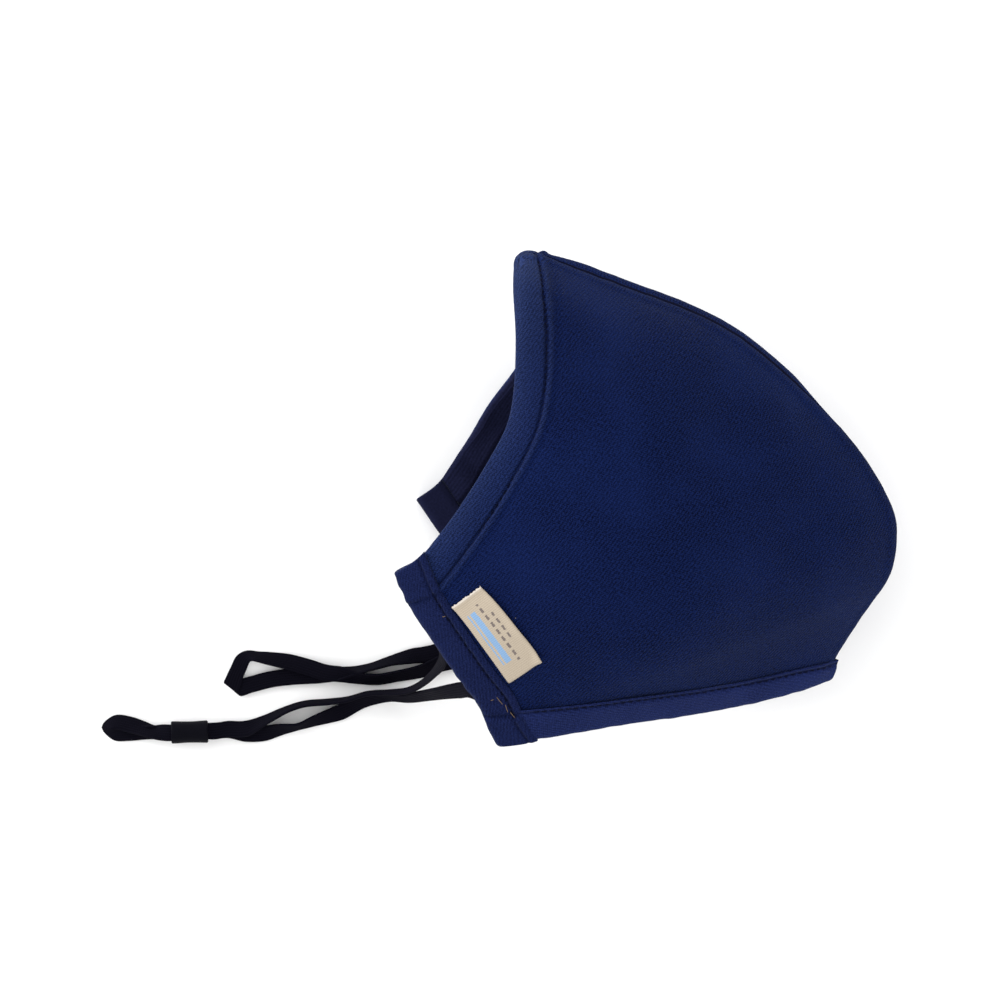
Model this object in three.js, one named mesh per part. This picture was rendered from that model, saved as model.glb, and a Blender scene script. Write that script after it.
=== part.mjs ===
// A child's cloth mask: two cupped halves joined by a centre seam, bound along the
// ear edges and the chin, with an elastic ear loop on each side. It lies on its left
// cheek on a flat surface. Millimetres, +Z up, origin on that surface.
import * as THREE from 'three';

// Driving dimensions
const WALL = 2.0;              // cloth halves: twill, filter layers and lining together
const CLEARANCE = 0.3;         // gap between neighbouring pieces
const BAND_CLOTH = 1.0;        // thickness of the folded cloth of a band
const SIDE_BAND_WIDTH = 9.3;
const CHIN_BAND_WIDTH = { ear: 9.5, front: 5.5, taper: 3.5 };  // taper: a power of the way
const BAND_INSIDE = 0.92;      // how wide a band is inside the cup, as a share of its width
const LABEL_THICKNESS = 0.8;
const ELASTIC_ROUND = 1.6;     // round cord with about the section of a 4 mm flat elastic
const STOPPER_LENGTH = 8.9;
const STOPPER_DIAMETER = 5.4;
const STOPPER_BORE = 4.3;
const STOPPER_CHAMFER = 0.25;
const STOPPER_PLACE = { x: -110.0, y: -56.3, height: 2.75, turn: 1.6 };  // turn: degrees
const CHEEK_FULLNESS = 12;     // how far the middle of a half swells beyond its edges
const LEFT_EAR_PULLED = 2.4;   // how far the left ear edge is pulled forward at its middle

// How the mask lies: its middle plane leans from the horizontal, nose end up
const LEAN_NOSE_UP = THREE.MathUtils.degToRad(14);
const LEAN_FRONT_UP = THREE.MathUtils.degToRad(-4.5);
const SEAM_HEIGHT = 38;        // height of the middle plane over the surface at its origin
const PLACE_Y = 0.25;

// Where the lying half comes down to the surface, it bends over this height, and it
// comes down from its bands this far from them, over this distance
const REST_SOFTNESS = 1.5;
const BAND_MARGIN = 2.5;
const BAND_RAMP = 6;

const BAND_STEP = CLEARANCE + BAND_CLOTH;
const MOST_MITRE = 1.5;        // the halves' walls meet at the seam spread at most this much

// Outlines of the right half, in the mask's own frame: forward to the mouth, up to the
// nose and out from the middle plane. The left half mirrors them.
const CENTRE_SEAM = [          // from chin to nose
  { forward: 42.6, up: -45.5 },
  { forward: 46.2, up: -38.4 },
  { forward: 53.2, up: -27.6 },
  { forward: 58.7, up: -19.5 },
  { forward: 60.5, up: -11.8 },
  { forward: 60.2, up: -4.3 },
  { forward: 54.8, up: 7.3 },
  { forward: 47.6, up: 17.2 },
  { forward: 35.2, up: 29.9 },
  { forward: 22.8, up: 40.3 },
  { forward: 12.2, up: 46.1 },
  { forward: -4.2, up: 52.5 },
  { forward: -17.5, up: 57.7 },
  { forward: -24.1, up: 60.5 },
  { forward: -28.3, up: 60.7 },
  { forward: -31.2, up: 58.9 },
];
const TOP_EDGE = [             // from ear to nose; slid: how far the left one has slid back
  { forward: -58.3, up: -9.6, out: 36.5, slid: 0.3 },
  { forward: -52.2, up: -5.7, out: 37.0, slid: 1.4 },
  { forward: -48.3, up: -1.1, out: 37.0, slid: 2.6 },
  { forward: -42.9, up: 6.2, out: 36.5, slid: 3.4 },
  { forward: -36.1, up: 16.8, out: 35.0, slid: 2.2 },
  { forward: -31.0, up: 26.3, out: 32.5, slid: 1.0 },
  { forward: -29.6, up: 32.9, out: 30.0, slid: 0.4 },
  { forward: -29.3, up: 44.9, out: 23.0, slid: 0.0 },
  { forward: -30.5, up: 54.8, out: 13.0, slid: 0.0 },
  { forward: -31.2, up: 58.9, out: 0.0, slid: 0.0 },
];
const CHIN_EDGE = [            // from the ear to the chin
  { forward: -34.5, up: -53.1, out: 33.5 },
  { forward: -25.9, up: -51.9, out: 32.5 },
  { forward: -14.2, up: -50.3, out: 30.5 },
  { forward: -2.1, up: -49.0, out: 27.0 },
  { forward: 12.8, up: -48.4, out: 20.5 },
  { forward: 25.3, up: -47.8, out: 13.0 },
  { forward: 37.9, up: -46.3, out: 5.0 },
  { forward: 42.6, up: -45.5, out: 0.0 },
];
const EAR_EDGE = [             // from the chin end to the top end
  { forward: -34.5, up: -53.1, out: 33.5 },
  { forward: -36.4, up: -49.1, out: 34.0 },
  { forward: -38.7, up: -42.9, out: 35.0 },
  { forward: -43.0, up: -36.3, out: 36.0 },
  { forward: -48.6, up: -27.3, out: 37.0 },
  { forward: -54.5, up: -18.0, out: 37.0 },
  { forward: -58.3, up: -9.6, out: 36.5 },
];

// The label's long sides, beside the side band and away from it: how far in from the ear
// edge, and where they start and end, down from the top end of the side band
const LABEL_SIDES = [
  { inward: 9.8, start: 14.5, end: 37.7 },
  { inward: 19.9, start: 15.9, end: 38.2 },
];

// Routes of the two elastics as they lie, from one sewn end to the other
const RIGHT_LOOP_ROUTE = [
  [-52.6, -22.7, 62.9], [-51.4, -27.2, 58.4], [-50.2, -32.0, 51.5], [-49.2, -36.0, 43.5],
  [-49.0, -38.8, 35.0], [-50.5, -41.2, 26.0], [-52.6, -43.4, 18.0], [-55.6, -45.5, 11.5],
  [-58.8, -46.5, 7.6], [-62.4, -46.7, 5.2], [-67.4, -47.1, 3.6], [-71.8, -48.4, 3.0],
  [-76.0, -49.0, 2.5], [-82.5, -49.6, 2.3], [-86.8, -51.0, 2.3], [-91.5, -53.3, 2.4],
  [-96.4, -55.5, 2.5], [-100.6, -55.6, 2.5], [-104.0, -56.1, 3.2], [-106.2, -56.1, 3.7],
  [-114.2, -56.5, 3.7], [-116.5, -56.5, 3.3], [-118.8, -56.3, 2.9], [-121.5, -55.4, 2.4],
  [-124.5, -54.5, 2.1], [-127.8, -54.0, 1.8], [-130.0, -55.3, 1.6], [-127.9, -56.6, 1.3],
  [-124.5, -56.5, 1.0], [-121.5, -56.4, 1.1], [-118.8, -56.4, 1.4], [-116.5, -56.4, 1.5],
  [-114.2, -56.5, 1.8], [-106.2, -56.1, 1.8], [-103.6, -56.0, 1.4], [-100.6, -55.8, 1.0],
  [-96.4, -56.7, 1.0], [-92.0, -56.6, 1.0], [-88.0, -55.7, 1.2], [-83.8, -55.0, 1.6],
  [-79.6, -53.5, 1.3], [-73.6, -51.5, 1.0], [-68.2, -49.0, 1.2], [-62.4, -47.9, 2.2],
  [-58.3, -48.2, 5.0], [-53.2, -47.5, 13.0], [-49.6, -46.9, 22.0], [-44.8, -46.1, 34.0],
  [-42.0, -46.0, 41.0], [-38.4, -47.6, 47.5], [-34.4, -50.2, 54.0],
];
const LEFT_LOOP_ROUTE = [
  [-46.4, -9.4, 5.8], [-46.6, -16.0, 5.8], [-46.8, -22.0, 3.0], [-46.2, -28.0, 1.0],
  [-46.6, -33.2, 1.0], [-49.4, -36.4, 1.0], [-53.0, -37.6, 1.0], [-56.2, -38.0, 1.2],
  [-61.6, -39.2, 1.9], [-65.8, -40.5, 2.1], [-69.4, -41.4, 2.0], [-73.6, -42.2, 1.5],
  [-78.6, -42.6, 1.0], [-85.6, -43.0, 1.0], [-90.4, -43.6, 1.0], [-95.4, -44.9, 1.0],
  [-99.8, -46.0, 1.2], [-99.3, -43.6, 1.5], [-98.2, -41.0, 1.7], [-97.1, -38.7, 1.9],
  [-96.2, -38.1, 2.0], [-95.2, -37.9, 2.1], [-94.0, -38.1, 2.1], [-91.5, -38.5, 2.0],
  [-86.2, -39.4, 2.0], [-81.4, -40.7, 2.3], [-77.2, -42.0, 2.6], [-73.6, -42.4, 2.8],
  [-68.8, -43.4, 2.3], [-64.5, -43.6, 1.9], [-59.8, -42.8, 1.6], [-54.0, -41.6, 1.4],
  [-48.6, -39.6, 1.2], [-42.6, -38.8, 1.2], [-37.6, -38.4, 2.8], [-34.2, -38.2, 5.4],
  [-31.4, -37.6, 6.0], [-28.6, -37.0, 5.8],
];

// Mesh fineness
const PANEL_STEPS_FORWARD = 26;
const PANEL_STEPS_UP = 24;
const CLOSER = 1.25;           // how much closer the lines come at the seam and the top
const LABEL_STEPS_ALONG = 8;
const LABEL_STEPS_ACROSS = 4;
const LOOP_STEPS = 80;
const CORD_SIDES = 8;
const STOPPER_SIDES = 32;
const SLOPE_STEP = 0.05;       // for the slopes beside an edge
const NORMAL_STEP = 0.004;

// ---------------------------------------------------------------- outlines and surface

const seamPoint = (row) => new THREE.Vector3(row.forward, row.up, 0);
const edgePoint = (row) => new THREE.Vector3(row.forward, row.up, row.out);
const smoothLine = (points) => new THREE.CatmullRomCurve3(points, false, 'centripetal');

const seamLine = smoothLine(CENTRE_SEAM.map(seamPoint));
const topLine = smoothLine(TOP_EDGE.map(edgePoint));
const chinLine = smoothLine(CHIN_EDGE.map(edgePoint));
const earLine = smoothLine(EAR_EDGE.map(edgePoint));
const slidLine = smoothLine(TOP_EDGE.map((row, i) => new THREE.Vector3(i, row.slid, 0)));

/** The half's outer surface: across runs from ear to seam, along from chin to top. */
function halfSurface(across, along) {
  const a = THREE.MathUtils.clamp(across, 0, 1);
  const b = THREE.MathUtils.clamp(along, 0, 1);
  const point = new THREE.Vector3();
  point.addScaledVector(earLine.getPointAt(b), 1 - a);
  point.addScaledVector(seamLine.getPointAt(b), a);
  point.addScaledVector(chinLine.getPointAt(a), 1 - b);
  point.addScaledVector(topLine.getPointAt(a), b);
  point.addScaledVector(earLine.getPointAt(0), -(1 - a) * (1 - b));
  point.addScaledVector(earLine.getPointAt(1), -(1 - a) * b);
  point.addScaledVector(seamLine.getPointAt(0), -a * (1 - b));
  point.addScaledVector(seamLine.getPointAt(1), -a * b);
  point.z += CHEEK_FULLNESS * Math.sin(Math.PI * a) * Math.sin(Math.PI * b);
  return point;
}

const lie = new THREE.Matrix4()
  .makeTranslation(0, PLACE_Y, SEAM_HEIGHT)
  .multiply(new THREE.Matrix4().makeRotationY(LEAN_FRONT_UP))
  .multiply(new THREE.Matrix4().makeRotationX(LEAN_NOSE_UP));
const unlie = lie.clone().invert();

/** Smoothly holds a height at or above a level. */
function restOn(height, level) {
  const over = height - level;
  if (over > REST_SOFTNESS) return height;
  if (over < -REST_SOFTNESS) return level;
  return level + (over + REST_SOFTNESS) ** 2 / (4 * REST_SOFTNESS);
}

const SIDES = {
  right(across, along) {
    return halfSurface(across, along).applyMatrix4(lie);
  },
  left(across, along) {
    const point = halfSurface(across, along);
    const slid = slidLine.getPoint(THREE.MathUtils.clamp(across, 0, 1)).y;
    const pulled = LEFT_EAR_PULLED * (1 - across) ** 4 * 4 * along * (1 - along);
    point.x += pulled - slid * along ** 3;
    point.z = -point.z;
    point.applyMatrix4(lie);
    point.z = restOn(point.z, bandLift(across, along));
    return point;
  },
};

/** How the surface leaves a place of its ear or chin edge. */
function leaving(across, along) {
  const stepAcross = across < 0.5 ? SLOPE_STEP : -SLOPE_STEP;
  const stepAlong = along < 0.5 ? SLOPE_STEP : -SLOPE_STEP;
  const at = halfSurface(across, along);
  const da = halfSurface(across + stepAcross, along).sub(at).divideScalar(stepAcross);
  const db = halfSurface(across, along + stepAlong).sub(at).divideScalar(stepAlong);
  const area = new THREE.Vector3().crossVectors(da, db).length();
  return { da, db, area };
}

// Distance square in from the ear edge, and from the chin edge, for a whole step of each
function acrossLength(along) {
  const { db, area } = leaving(0, along);
  return area / db.length();
}
function alongLength(across) {
  const { da, area } = leaving(across, 0);
  return area / da.length();
}

/** The chin band narrows toward the front. */
function chinBandWidth(across) {
  const way = THREE.MathUtils.clamp(across, 0, 1) ** CHIN_BAND_WIDTH.taper;
  return THREE.MathUtils.lerp(CHIN_BAND_WIDTH.ear, CHIN_BAND_WIDTH.front, way);
}

/** How far a resting half is held up by the bands under it. */
function bandLift(across, along) {
  const fromEar = across * acrossLength(along) - SIDE_BAND_WIDTH - BAND_MARGIN;
  const fromChin = along * alongLength(across) - chinBandWidth(across) - BAND_MARGIN;
  const away = THREE.MathUtils.clamp(Math.min(fromEar, fromChin) / BAND_RAMP, 0, 1);
  return BAND_STEP * (1 - THREE.MathUtils.smoothstep(away, 0, 1));
}

/** Outward normal of a lying half. */
function outward(side, across, along) {
  const place = SIDES[side];
  const a0 = Math.max(across - NORMAL_STEP, 0);
  const a1 = Math.min(across + NORMAL_STEP, 1);
  const b0 = Math.max(along - NORMAL_STEP, 0);
  const b1 = Math.min(along + NORMAL_STEP, 1);
  const da = place(a1, along).sub(place(a0, along));
  const db = place(across, b1).sub(place(across, b0));
  const normal = new THREE.Vector3().crossVectors(da, db).normalize();
  if (side === 'left') normal.negate();
  return normal;
}

/** A point of a half's surface, lifted by height along its normal; mitred at the seam. */
function onHalf(side, across, along, height) {
  const sign = side === 'left' ? -1 : 1;
  const own = SIDES[side](across, along).applyMatrix4(unlie);
  const normal = outward(side, across, along).transformDirection(unlie);
  const reach = 2 * Math.abs(normal.z * height);
  const free = reach > 0 ? Math.min(Math.abs(own.z) / reach, 1) : 1;
  const mitre = Math.min(1 / (1 - normal.z ** 2), MOST_MITRE);
  const spread = free < 1 ? THREE.MathUtils.lerp(mitre, 1, free) : 1;
  own.x += normal.x * spread * height;
  own.y += normal.y * spread * height;
  own.z += normal.z * free * height;
  own.z = sign * Math.max(sign * own.z, CLEARANCE / 2);
  return own.applyMatrix4(lie);
}

// ---------------------------------------------------------------- closed bodies

/** A closed body from rings of points, each ring closed on itself, with flat ends. */
function loftRings(rings, flip) {
  const size = rings[0].length;
  const positions = rings.flat().flatMap((p) => [p.x, p.y, p.z]);
  const index = [];
  const quad = (a, b, c, d) => index.push(a, b, c, a, c, d);
  for (let r = 0; r + 1 < rings.length; r += 1) {
    for (let k = 0; k < size; k += 1) {
      const next = (k + 1) % size;
      quad(r * size + k, r * size + next, (r + 1) * size + next, (r + 1) * size + k);
    }
  }
  const ends = [ringEnd(size, 0, true), ringEnd(size, rings.length - 1, false)];
  return closeBody(positions, index, ends, flip);
}

/** Triangles that close a ring of a long flat section: it is zipped from side to side. */
function ringEnd(size, ring, reversed) {
  const triangles = [];
  for (let lo = 0, hi = size - 1; hi - lo > 1;) {
    const a = ring * size + lo;
    const b = ring * size + lo + 1;
    const c = ring * size + hi;
    const d = ring * size + hi - 1;
    triangles.push([a, b, c]);
    if (hi - 1 > lo + 1) triangles.push([b, d, c]);
    lo += 1;
    hi -= 1;
  }
  return reversed ? triangles.map(([a, b, c]) => [a, c, b]) : triangles;
}

function closeBody(positions, index, ends, flip) {
  ends.flat().forEach((triangle) => index.push(...triangle));
  if (flip) {
    for (let i = 0; i < index.length; i += 3) {
      [index[i + 1], index[i + 2]] = [index[i + 2], index[i + 1]];
    }
  }
  const geometry = new THREE.BufferGeometry();
  geometry.setAttribute('position', new THREE.Float32BufferAttribute(positions, 3));
  geometry.setIndex(index);
  geometry.computeVertexNormals();
  return geometry;
}

/** Rows from 0 to 1. */
const evenly = (steps) => Array.from({ length: steps + 1 }, (_, i) => i / steps);

// Lines of the mesh, shared by a half and its bands; closer where the surface turns
const ACROSS_LINES = evenly(PANEL_STEPS_FORWARD).map((i) => 1 - (1 - i) ** CLOSER);
const ALONG_LINES = evenly(PANEL_STEPS_UP).map((j) => 1 - (1 - j) ** CLOSER);

/** A cloth half: the outer surface, the same surface a wall inside, and its rim. */
function panelGeometry(side) {
  const rings = ALONG_LINES.map((line) => {
    const outer = [];
    const inner = [];
    ACROSS_LINES.forEach((column) => {
      const along = Math.max(line, BAND_STEP / alongLength(column));
      const across = Math.max(column, BAND_STEP / acrossLength(along));
      outer.push(onFloor(onHalf(side, across, along, 0)));
      inner.push(onHalf(side, across, along, -WALL));
    });
    return [...outer, ...inner.reverse()];
  });
  return loftRings(rings, side === 'left');
}

/** The section of a band folded round an edge: distance in from the edge, and height. */
function bandSection(width) {
  const inside = -WALL - 1.6 * CLEARANCE;
  const outside = CLEARANCE + BAND_CLOTH;
  const middle = -WALL / 2;
  const round = WALL / 2 + CLEARANCE;
  const reach = round + BAND_CLOTH;
  const square = (value) => THREE.MathUtils.clamp(value * Math.SQRT2, -1, 1);
  const outer = [];
  const inner = [];
  [1, 2 / 3, 1 / 3].forEach((share) => {
    outer.push([width * share, outside]);
    inner.push([width * share, CLEARANCE]);
  });
  [90, 45, 0, -45, -90].forEach((degrees) => {
    const angle = THREE.MathUtils.degToRad(degrees);
    const cos = Math.cos(angle);
    const sin = Math.sin(angle);
    outer.push([reach * (1 - cos), middle + reach * sin]);
    inner.push([reach - round * square(cos), middle + round * square(sin)]);
  });
  [BAND_INSIDE / 2, BAND_INSIDE].forEach((share) => {
    outer.push([width * share, inside - BAND_CLOTH]);
    inner.push([width * share, inside]);
  });
  return [...outer, ...inner.reverse()];
}

/** The band round the ear edge of a half. */
function sideBandGeometry(side) {
  const section = bandSection(SIDE_BAND_WIDTH);
  const rings = ALONG_LINES.map((along) => section.map(([inward, height]) => (
    onFloor(onHalf(side, inward / acrossLength(along), along, height))
  )));
  return loftRings(rings, side === 'right');
}

/** The band round the chin edge of a half, from the side band to the centre seam. */
function chinBandGeometry(side) {
  const start = (SIDE_BAND_WIDTH + CLEARANCE) / acrossLength(0);
  const stations = [start, ...ACROSS_LINES.filter((across) => across > start + 0.01)];
  const rings = stations.map((across) => (
    bandSection(chinBandWidth(across)).map(([inward, height]) => (
      onFloor(onHalf(side, across, inward / alongLength(across), height))
    ))
  ));
  return loftRings(rings, side === 'left');
}

function onFloor(point) {
  point.z = Math.max(point.z, 0);
  return point;
}

/** The woven label on the right half, along the inner edge of the side band. */
function labelGeometry() {
  const sides = LABEL_SIDES.map(({ inward, start, end }) => (
    [besideEar(inward, start), besideEar(inward, end)]
  ));
  const rings = evenly(LABEL_STEPS_ALONG).map((share) => {
    const [near, far] = sides.map(([start, end]) => (
      new THREE.Vector2().lerpVectors(start, end, share)
    ));
    const row = (height) => evenly(LABEL_STEPS_ACROSS).map((k) => {
      const { x: across, y: along } = new THREE.Vector2().lerpVectors(near, far, k);
      return onHalf('right', across, along, height);
    });
    return [...row(CLEARANCE + LABEL_THICKNESS), ...row(CLEARANCE).reverse()];
  });
  return loftRings(rings, true);
}

/** The place (across, along) square in from the ear edge, a distance down from its top end. */
function besideEar(inward, fromTop) {
  const foot = 1 - fromTop / earLine.getLength();
  const across = inward / acrossLength(foot);
  const { da, db } = leaving(0, foot);
  return new THREE.Vector2(across, foot - (across * da.dot(db)) / db.lengthSq());
}

/** A limp cord along its route. */
function cordGeometry(route) {
  const section = new THREE.Shape();
  section.absarc(0, 0, ELASTIC_ROUND / 2, 0, Math.PI * 2);
  const path = smoothLine(route.map(([x, y, z]) => new THREE.Vector3(x, y, z)));
  return new THREE.ExtrudeGeometry(section, {
    steps: LOOP_STEPS, curveSegments: CORD_SIDES / 2, bevelEnabled: false, extrudePath: path,
  });
}

/** The tube that gathers the two runs of the right elastic. */
function stopperGeometry() {
  const half = STOPPER_LENGTH / 2;
  const wide = STOPPER_DIAMETER / 2;
  const bore = STOPPER_BORE / 2;
  const lip = wide - STOPPER_CHAMFER;
  const profile = [
    [bore, -half], [lip, -half], [wide, -half + STOPPER_CHAMFER],
    [wide, half - STOPPER_CHAMFER], [lip, half], [bore, half], [bore, -half],
  ];
  const points = profile.map(([radius, place]) => new THREE.Vector2(radius, place));
  return new THREE.LatheGeometry(points, STOPPER_SIDES);
}

// ---------------------------------------------------------------- the assembly

const twill = { color: 0x1c2a57, roughness: 0.92, metalness: 0 };
const foldedTwill = { color: 0x25325f, roughness: 0.94, metalness: 0 };
const ribbon = { color: 0xcdbfae, roughness: 0.85, metalness: 0 };
const elastic = { color: 0x14121c, roughness: 0.8, metalness: 0 };
const smoothBlack = { color: 0x121118, roughness: 0.45, metalness: 0 };

function piece(name, geometry, finish) {
  const mesh = new THREE.Mesh(geometry, new THREE.MeshStandardMaterial(finish));
  mesh.name = name;
  return mesh;
}

const group = new THREE.Group();
['right', 'left'].forEach((side) => {
  group.add(piece(`${side}_panel`, panelGeometry(side), twill));
  group.add(piece(`${side}_chin_band`, chinBandGeometry(side), foldedTwill));
  group.add(piece(`${side}_side_band`, sideBandGeometry(side), foldedTwill));
});
group.add(piece('label', labelGeometry(), ribbon));
group.add(piece('right_ear_loop', cordGeometry(RIGHT_LOOP_ROUTE), elastic));
group.add(piece('left_ear_loop', cordGeometry(LEFT_LOOP_ROUTE), elastic));

const stopper = piece('cord_stopper', stopperGeometry(), smoothBlack);
stopper.rotation.z = THREE.MathUtils.degToRad(90 + STOPPER_PLACE.turn);
stopper.position.set(STOPPER_PLACE.x, STOPPER_PLACE.y, STOPPER_PLACE.height);
group.add(stopper);

export default group;
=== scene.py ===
"""A child's cloth mask of navy twill, lying on its left cheek: two cupped halves with
hemmed tops and a centre seam, bands folded round the ear and chin edges, a woven label
and a flat elastic loop on each side, one of them gathered in a stopper."""

import math
from collections import namedtuple

import bpy
import numpy as np
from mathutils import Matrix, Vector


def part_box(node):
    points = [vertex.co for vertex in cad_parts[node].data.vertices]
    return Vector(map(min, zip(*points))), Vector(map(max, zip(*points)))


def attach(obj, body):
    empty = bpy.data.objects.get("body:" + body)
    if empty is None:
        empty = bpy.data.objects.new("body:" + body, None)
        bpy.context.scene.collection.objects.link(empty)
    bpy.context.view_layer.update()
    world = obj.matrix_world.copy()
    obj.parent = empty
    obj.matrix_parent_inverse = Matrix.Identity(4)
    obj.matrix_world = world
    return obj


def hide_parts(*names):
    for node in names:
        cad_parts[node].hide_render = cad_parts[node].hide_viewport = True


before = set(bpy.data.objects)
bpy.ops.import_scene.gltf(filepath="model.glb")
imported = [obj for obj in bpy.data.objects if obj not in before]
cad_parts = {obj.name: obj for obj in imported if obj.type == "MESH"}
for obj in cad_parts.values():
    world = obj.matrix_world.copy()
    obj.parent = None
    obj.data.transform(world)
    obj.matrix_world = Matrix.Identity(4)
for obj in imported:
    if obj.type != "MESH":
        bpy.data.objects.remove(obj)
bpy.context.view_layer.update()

bl_info = {
    "name": "Child's Cloth Mask",
    "version": (1, 0, 0),
    "blender": (4, 5, 0),
    "location": "View3D > Sidebar > Cloth Mask",
    "description": "Makes the cloth, bands, label and elastics of a child's mask",
    "category": "Add Mesh",
}

MM = 0.001
TURN = 2 * math.pi

# ------------------------------------------------------------------ the mask's outlines
# Millimetres, in the mask's own frame: forward to the mouth, up to the nose and out from
# the middle plane. The left half mirrors the right one.
Row = namedtuple("Row", "forward up out slid", defaults=(0.0, 0.0))

CENTRE_SEAM = (  # from chin to nose
    Row(42.6, -45.5), Row(46.2, -38.4), Row(53.2, -27.6), Row(58.7, -19.5),
    Row(60.5, -11.8), Row(60.2, -4.3), Row(54.8, 7.3), Row(47.6, 17.2),
    Row(35.2, 29.9), Row(22.8, 40.3), Row(12.2, 46.1), Row(-4.2, 52.5),
    Row(-17.5, 57.7), Row(-24.1, 60.5), Row(-28.3, 60.7), Row(-31.2, 58.9),
)
TOP_EDGE = (  # from the ear to the nose; slid: how far the left one has slid back
    Row(-58.3, -9.6, 36.5, 0.3), Row(-52.2, -5.7, 37.0, 1.4), Row(-48.3, -1.1, 37.0, 2.6),
    Row(-42.9, 6.2, 36.5, 3.4), Row(-36.1, 16.8, 35.0, 2.2), Row(-31.0, 26.3, 32.5, 1.0),
    Row(-29.6, 32.9, 30.0, 0.4), Row(-29.3, 44.9, 23.0), Row(-30.5, 54.8, 13.0),
    Row(-31.2, 58.9),
)
CHIN_EDGE = (  # from the ear to the chin
    Row(-34.5, -53.1, 33.5), Row(-25.9, -51.9, 32.5), Row(-14.2, -50.3, 30.5),
    Row(-2.1, -49.0, 27.0), Row(12.8, -48.4, 20.5), Row(25.3, -47.8, 13.0),
    Row(37.9, -46.3, 5.0), Row(42.6, -45.5),
)
EAR_EDGE = (  # from the chin end to the top end
    Row(-34.5, -53.1, 33.5), Row(-36.4, -49.1, 34.0), Row(-38.7, -42.9, 35.0),
    Row(-43.0, -36.3, 36.0), Row(-48.6, -27.3, 37.0), Row(-54.5, -18.0, 37.0),
    Row(-58.3, -9.6, 36.5),
)
CHEEK_FULLNESS = 12.0
LEFT_EAR_PULLED = 2.4    # how far the left ear edge is pulled forward at its middle
LEAN_NOSE_UP = math.radians(14)
LEAN_FRONT_UP = math.radians(-4.5)
LIES_AT = np.array((0.0, 0.25, 38.0))

WALL = 2.0
CLEARANCE = 0.3
NOSE_RIDGE_START = 75.0  # along the seam from the chin, where the left half shows past it
BAND_STEP = 1.3          # the bands' cloth and clearance, which hold the lying half up
SIDE_BAND_WIDTH = 9.5
CHIN_BAND_EAR_WIDTH = 9.5
CHIN_BAND_FRONT_WIDTH = 5.5
CHIN_BAND_TUCKED = 1.6   # how far its ear end goes in under the side band
# From this place in its section on, a band's inside is painted dark, standing in for the shade
# inside the cup
BAND_DARK_INSIDE_FROM = 38     # the place in a band's section past the middle of its fold
FLOOR_GAP = 0.02
STOPPER_LENGTH = 8.9
STOPPER_DIAMETER = 5.4
STOPPER_TURN = math.radians(1.6)

# The label's sides, beside the side band and away from it: how far in from the ear
# edge, and where each starts and ends, down from the side band's top end
Side = namedtuple("Side", "inward start end")
LABEL_SIDES = (Side(9.8, 14.5, 37.7), Side(19.9, 15.9, 38.2))

# Bits of loose thread on the right side band: how far in from the ear edge, down from
# its top end, their length and how they turn from the band's run, in degrees
Bit = namedtuple("Bit", "inward down length turn")
LOOSE_BITS = (
    Bit(6.4, 5.6, 1.1, 20), Bit(7.0, 15.2, 0.9, 70), Bit(5.9, 39.4, 2.0, 12),
    Bit(6.5, 41.3, 1.7, -8), Bit(7.2, 43.0, 1.9, 18), Bit(4.4, 38.6, 0.9, 80),
    Bit(7.7, 44.9, 1.0, -50), Bit(1.9, 43.2, 0.8, 40),
)

# Routes of the elastics as they lie, from one sewn end to the other. The flat elastic
# rolls about its own line: 0 lies flat, 90 stands on its edge. At a crease, bearing is
# the direction of its width seen from above and wide is the crease's length.
Stretch = namedtuple("Stretch", "x y z roll bearing wide", defaults=(0, None, None))


def stretches(*rows):
    return [Stretch(*row) for row in rows]


RIGHT_LOOP_ROUTE = stretches(
    (-52.6, -22.7, 62.9, 40), (-51.4, -27.2, 58.4, 40),
    (-50.2, -32.0, 51.5, 45), (-49.2, -36.0, 43.5, 55),
    (-49.0, -38.8, 35.0, 62), (-50.5, -41.2, 26.0, 66),
    (-52.6, -43.4, 18.0, 70), (-55.6, -45.5, 11.5, 72),
    (-58.8, -46.5, 7.6, 76), (-62.4, -46.7, 5.2, 80),
    (-67.4, -47.1, 3.6, 80), (-71.8, -48.4, 3.0, 78),
    (-76.0, -49.0, 2.5, 74), (-82.5, -49.6, 2.3, 74),
    (-86.8, -51.0, 2.3, 72), (-91.5, -53.3, 2.4, 60),
    (-96.4, -55.5, 2.5, 12), (-100.6, -55.6, 2.5, 4),
    (-104.0, -56.1, 3.2), (-106.2, -56.1, 3.7),
    (-114.2, -56.5, 3.7), (-116.5, -56.5, 3.3, 15),
    (-118.8, -56.3, 2.9, 42), (-121.5, -55.4, 2.4, 30),
    (-124.5, -54.5, 2.1, 15), (-127.8, -54.0, 1.8, 25),
    (-130.0, -55.3, 1.6, 45), (-127.9, -56.6, 1.3, 25),
    (-124.5, -56.5, 1.0, 10), (-121.5, -56.4, 1.1, 30),
    (-118.8, -56.4, 1.4, 42), (-116.5, -56.4, 1.5, 15),
    (-114.2, -56.5, 1.8), (-106.2, -56.1, 1.8),
    (-103.6, -56.0, 1.4), (-100.6, -55.8, 1.0),
    (-96.4, -56.7, 1.0), (-92.0, -56.6, 1.0, 20),
    (-88.0, -55.7, 1.2, 50), (-83.8, -55.0, 1.6, 74),
    (-79.6, -53.5, 1.3, 52), (-73.6, -51.5, 1.0, 15),
    (-68.2, -49.0, 1.2, 45), (-62.4, -47.9, 2.2, 60),
    (-58.3, -48.2, 5.0, 64), (-53.2, -47.5, 13.0, 50),
    (-49.6, -46.9, 22.0, 42), (-44.8, -46.1, 34.0, 10),
    (-42.0, -46.0, 41.0), (-38.4, -47.6, 47.5),
    (-34.4, -50.2, 54.0),
)
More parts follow.
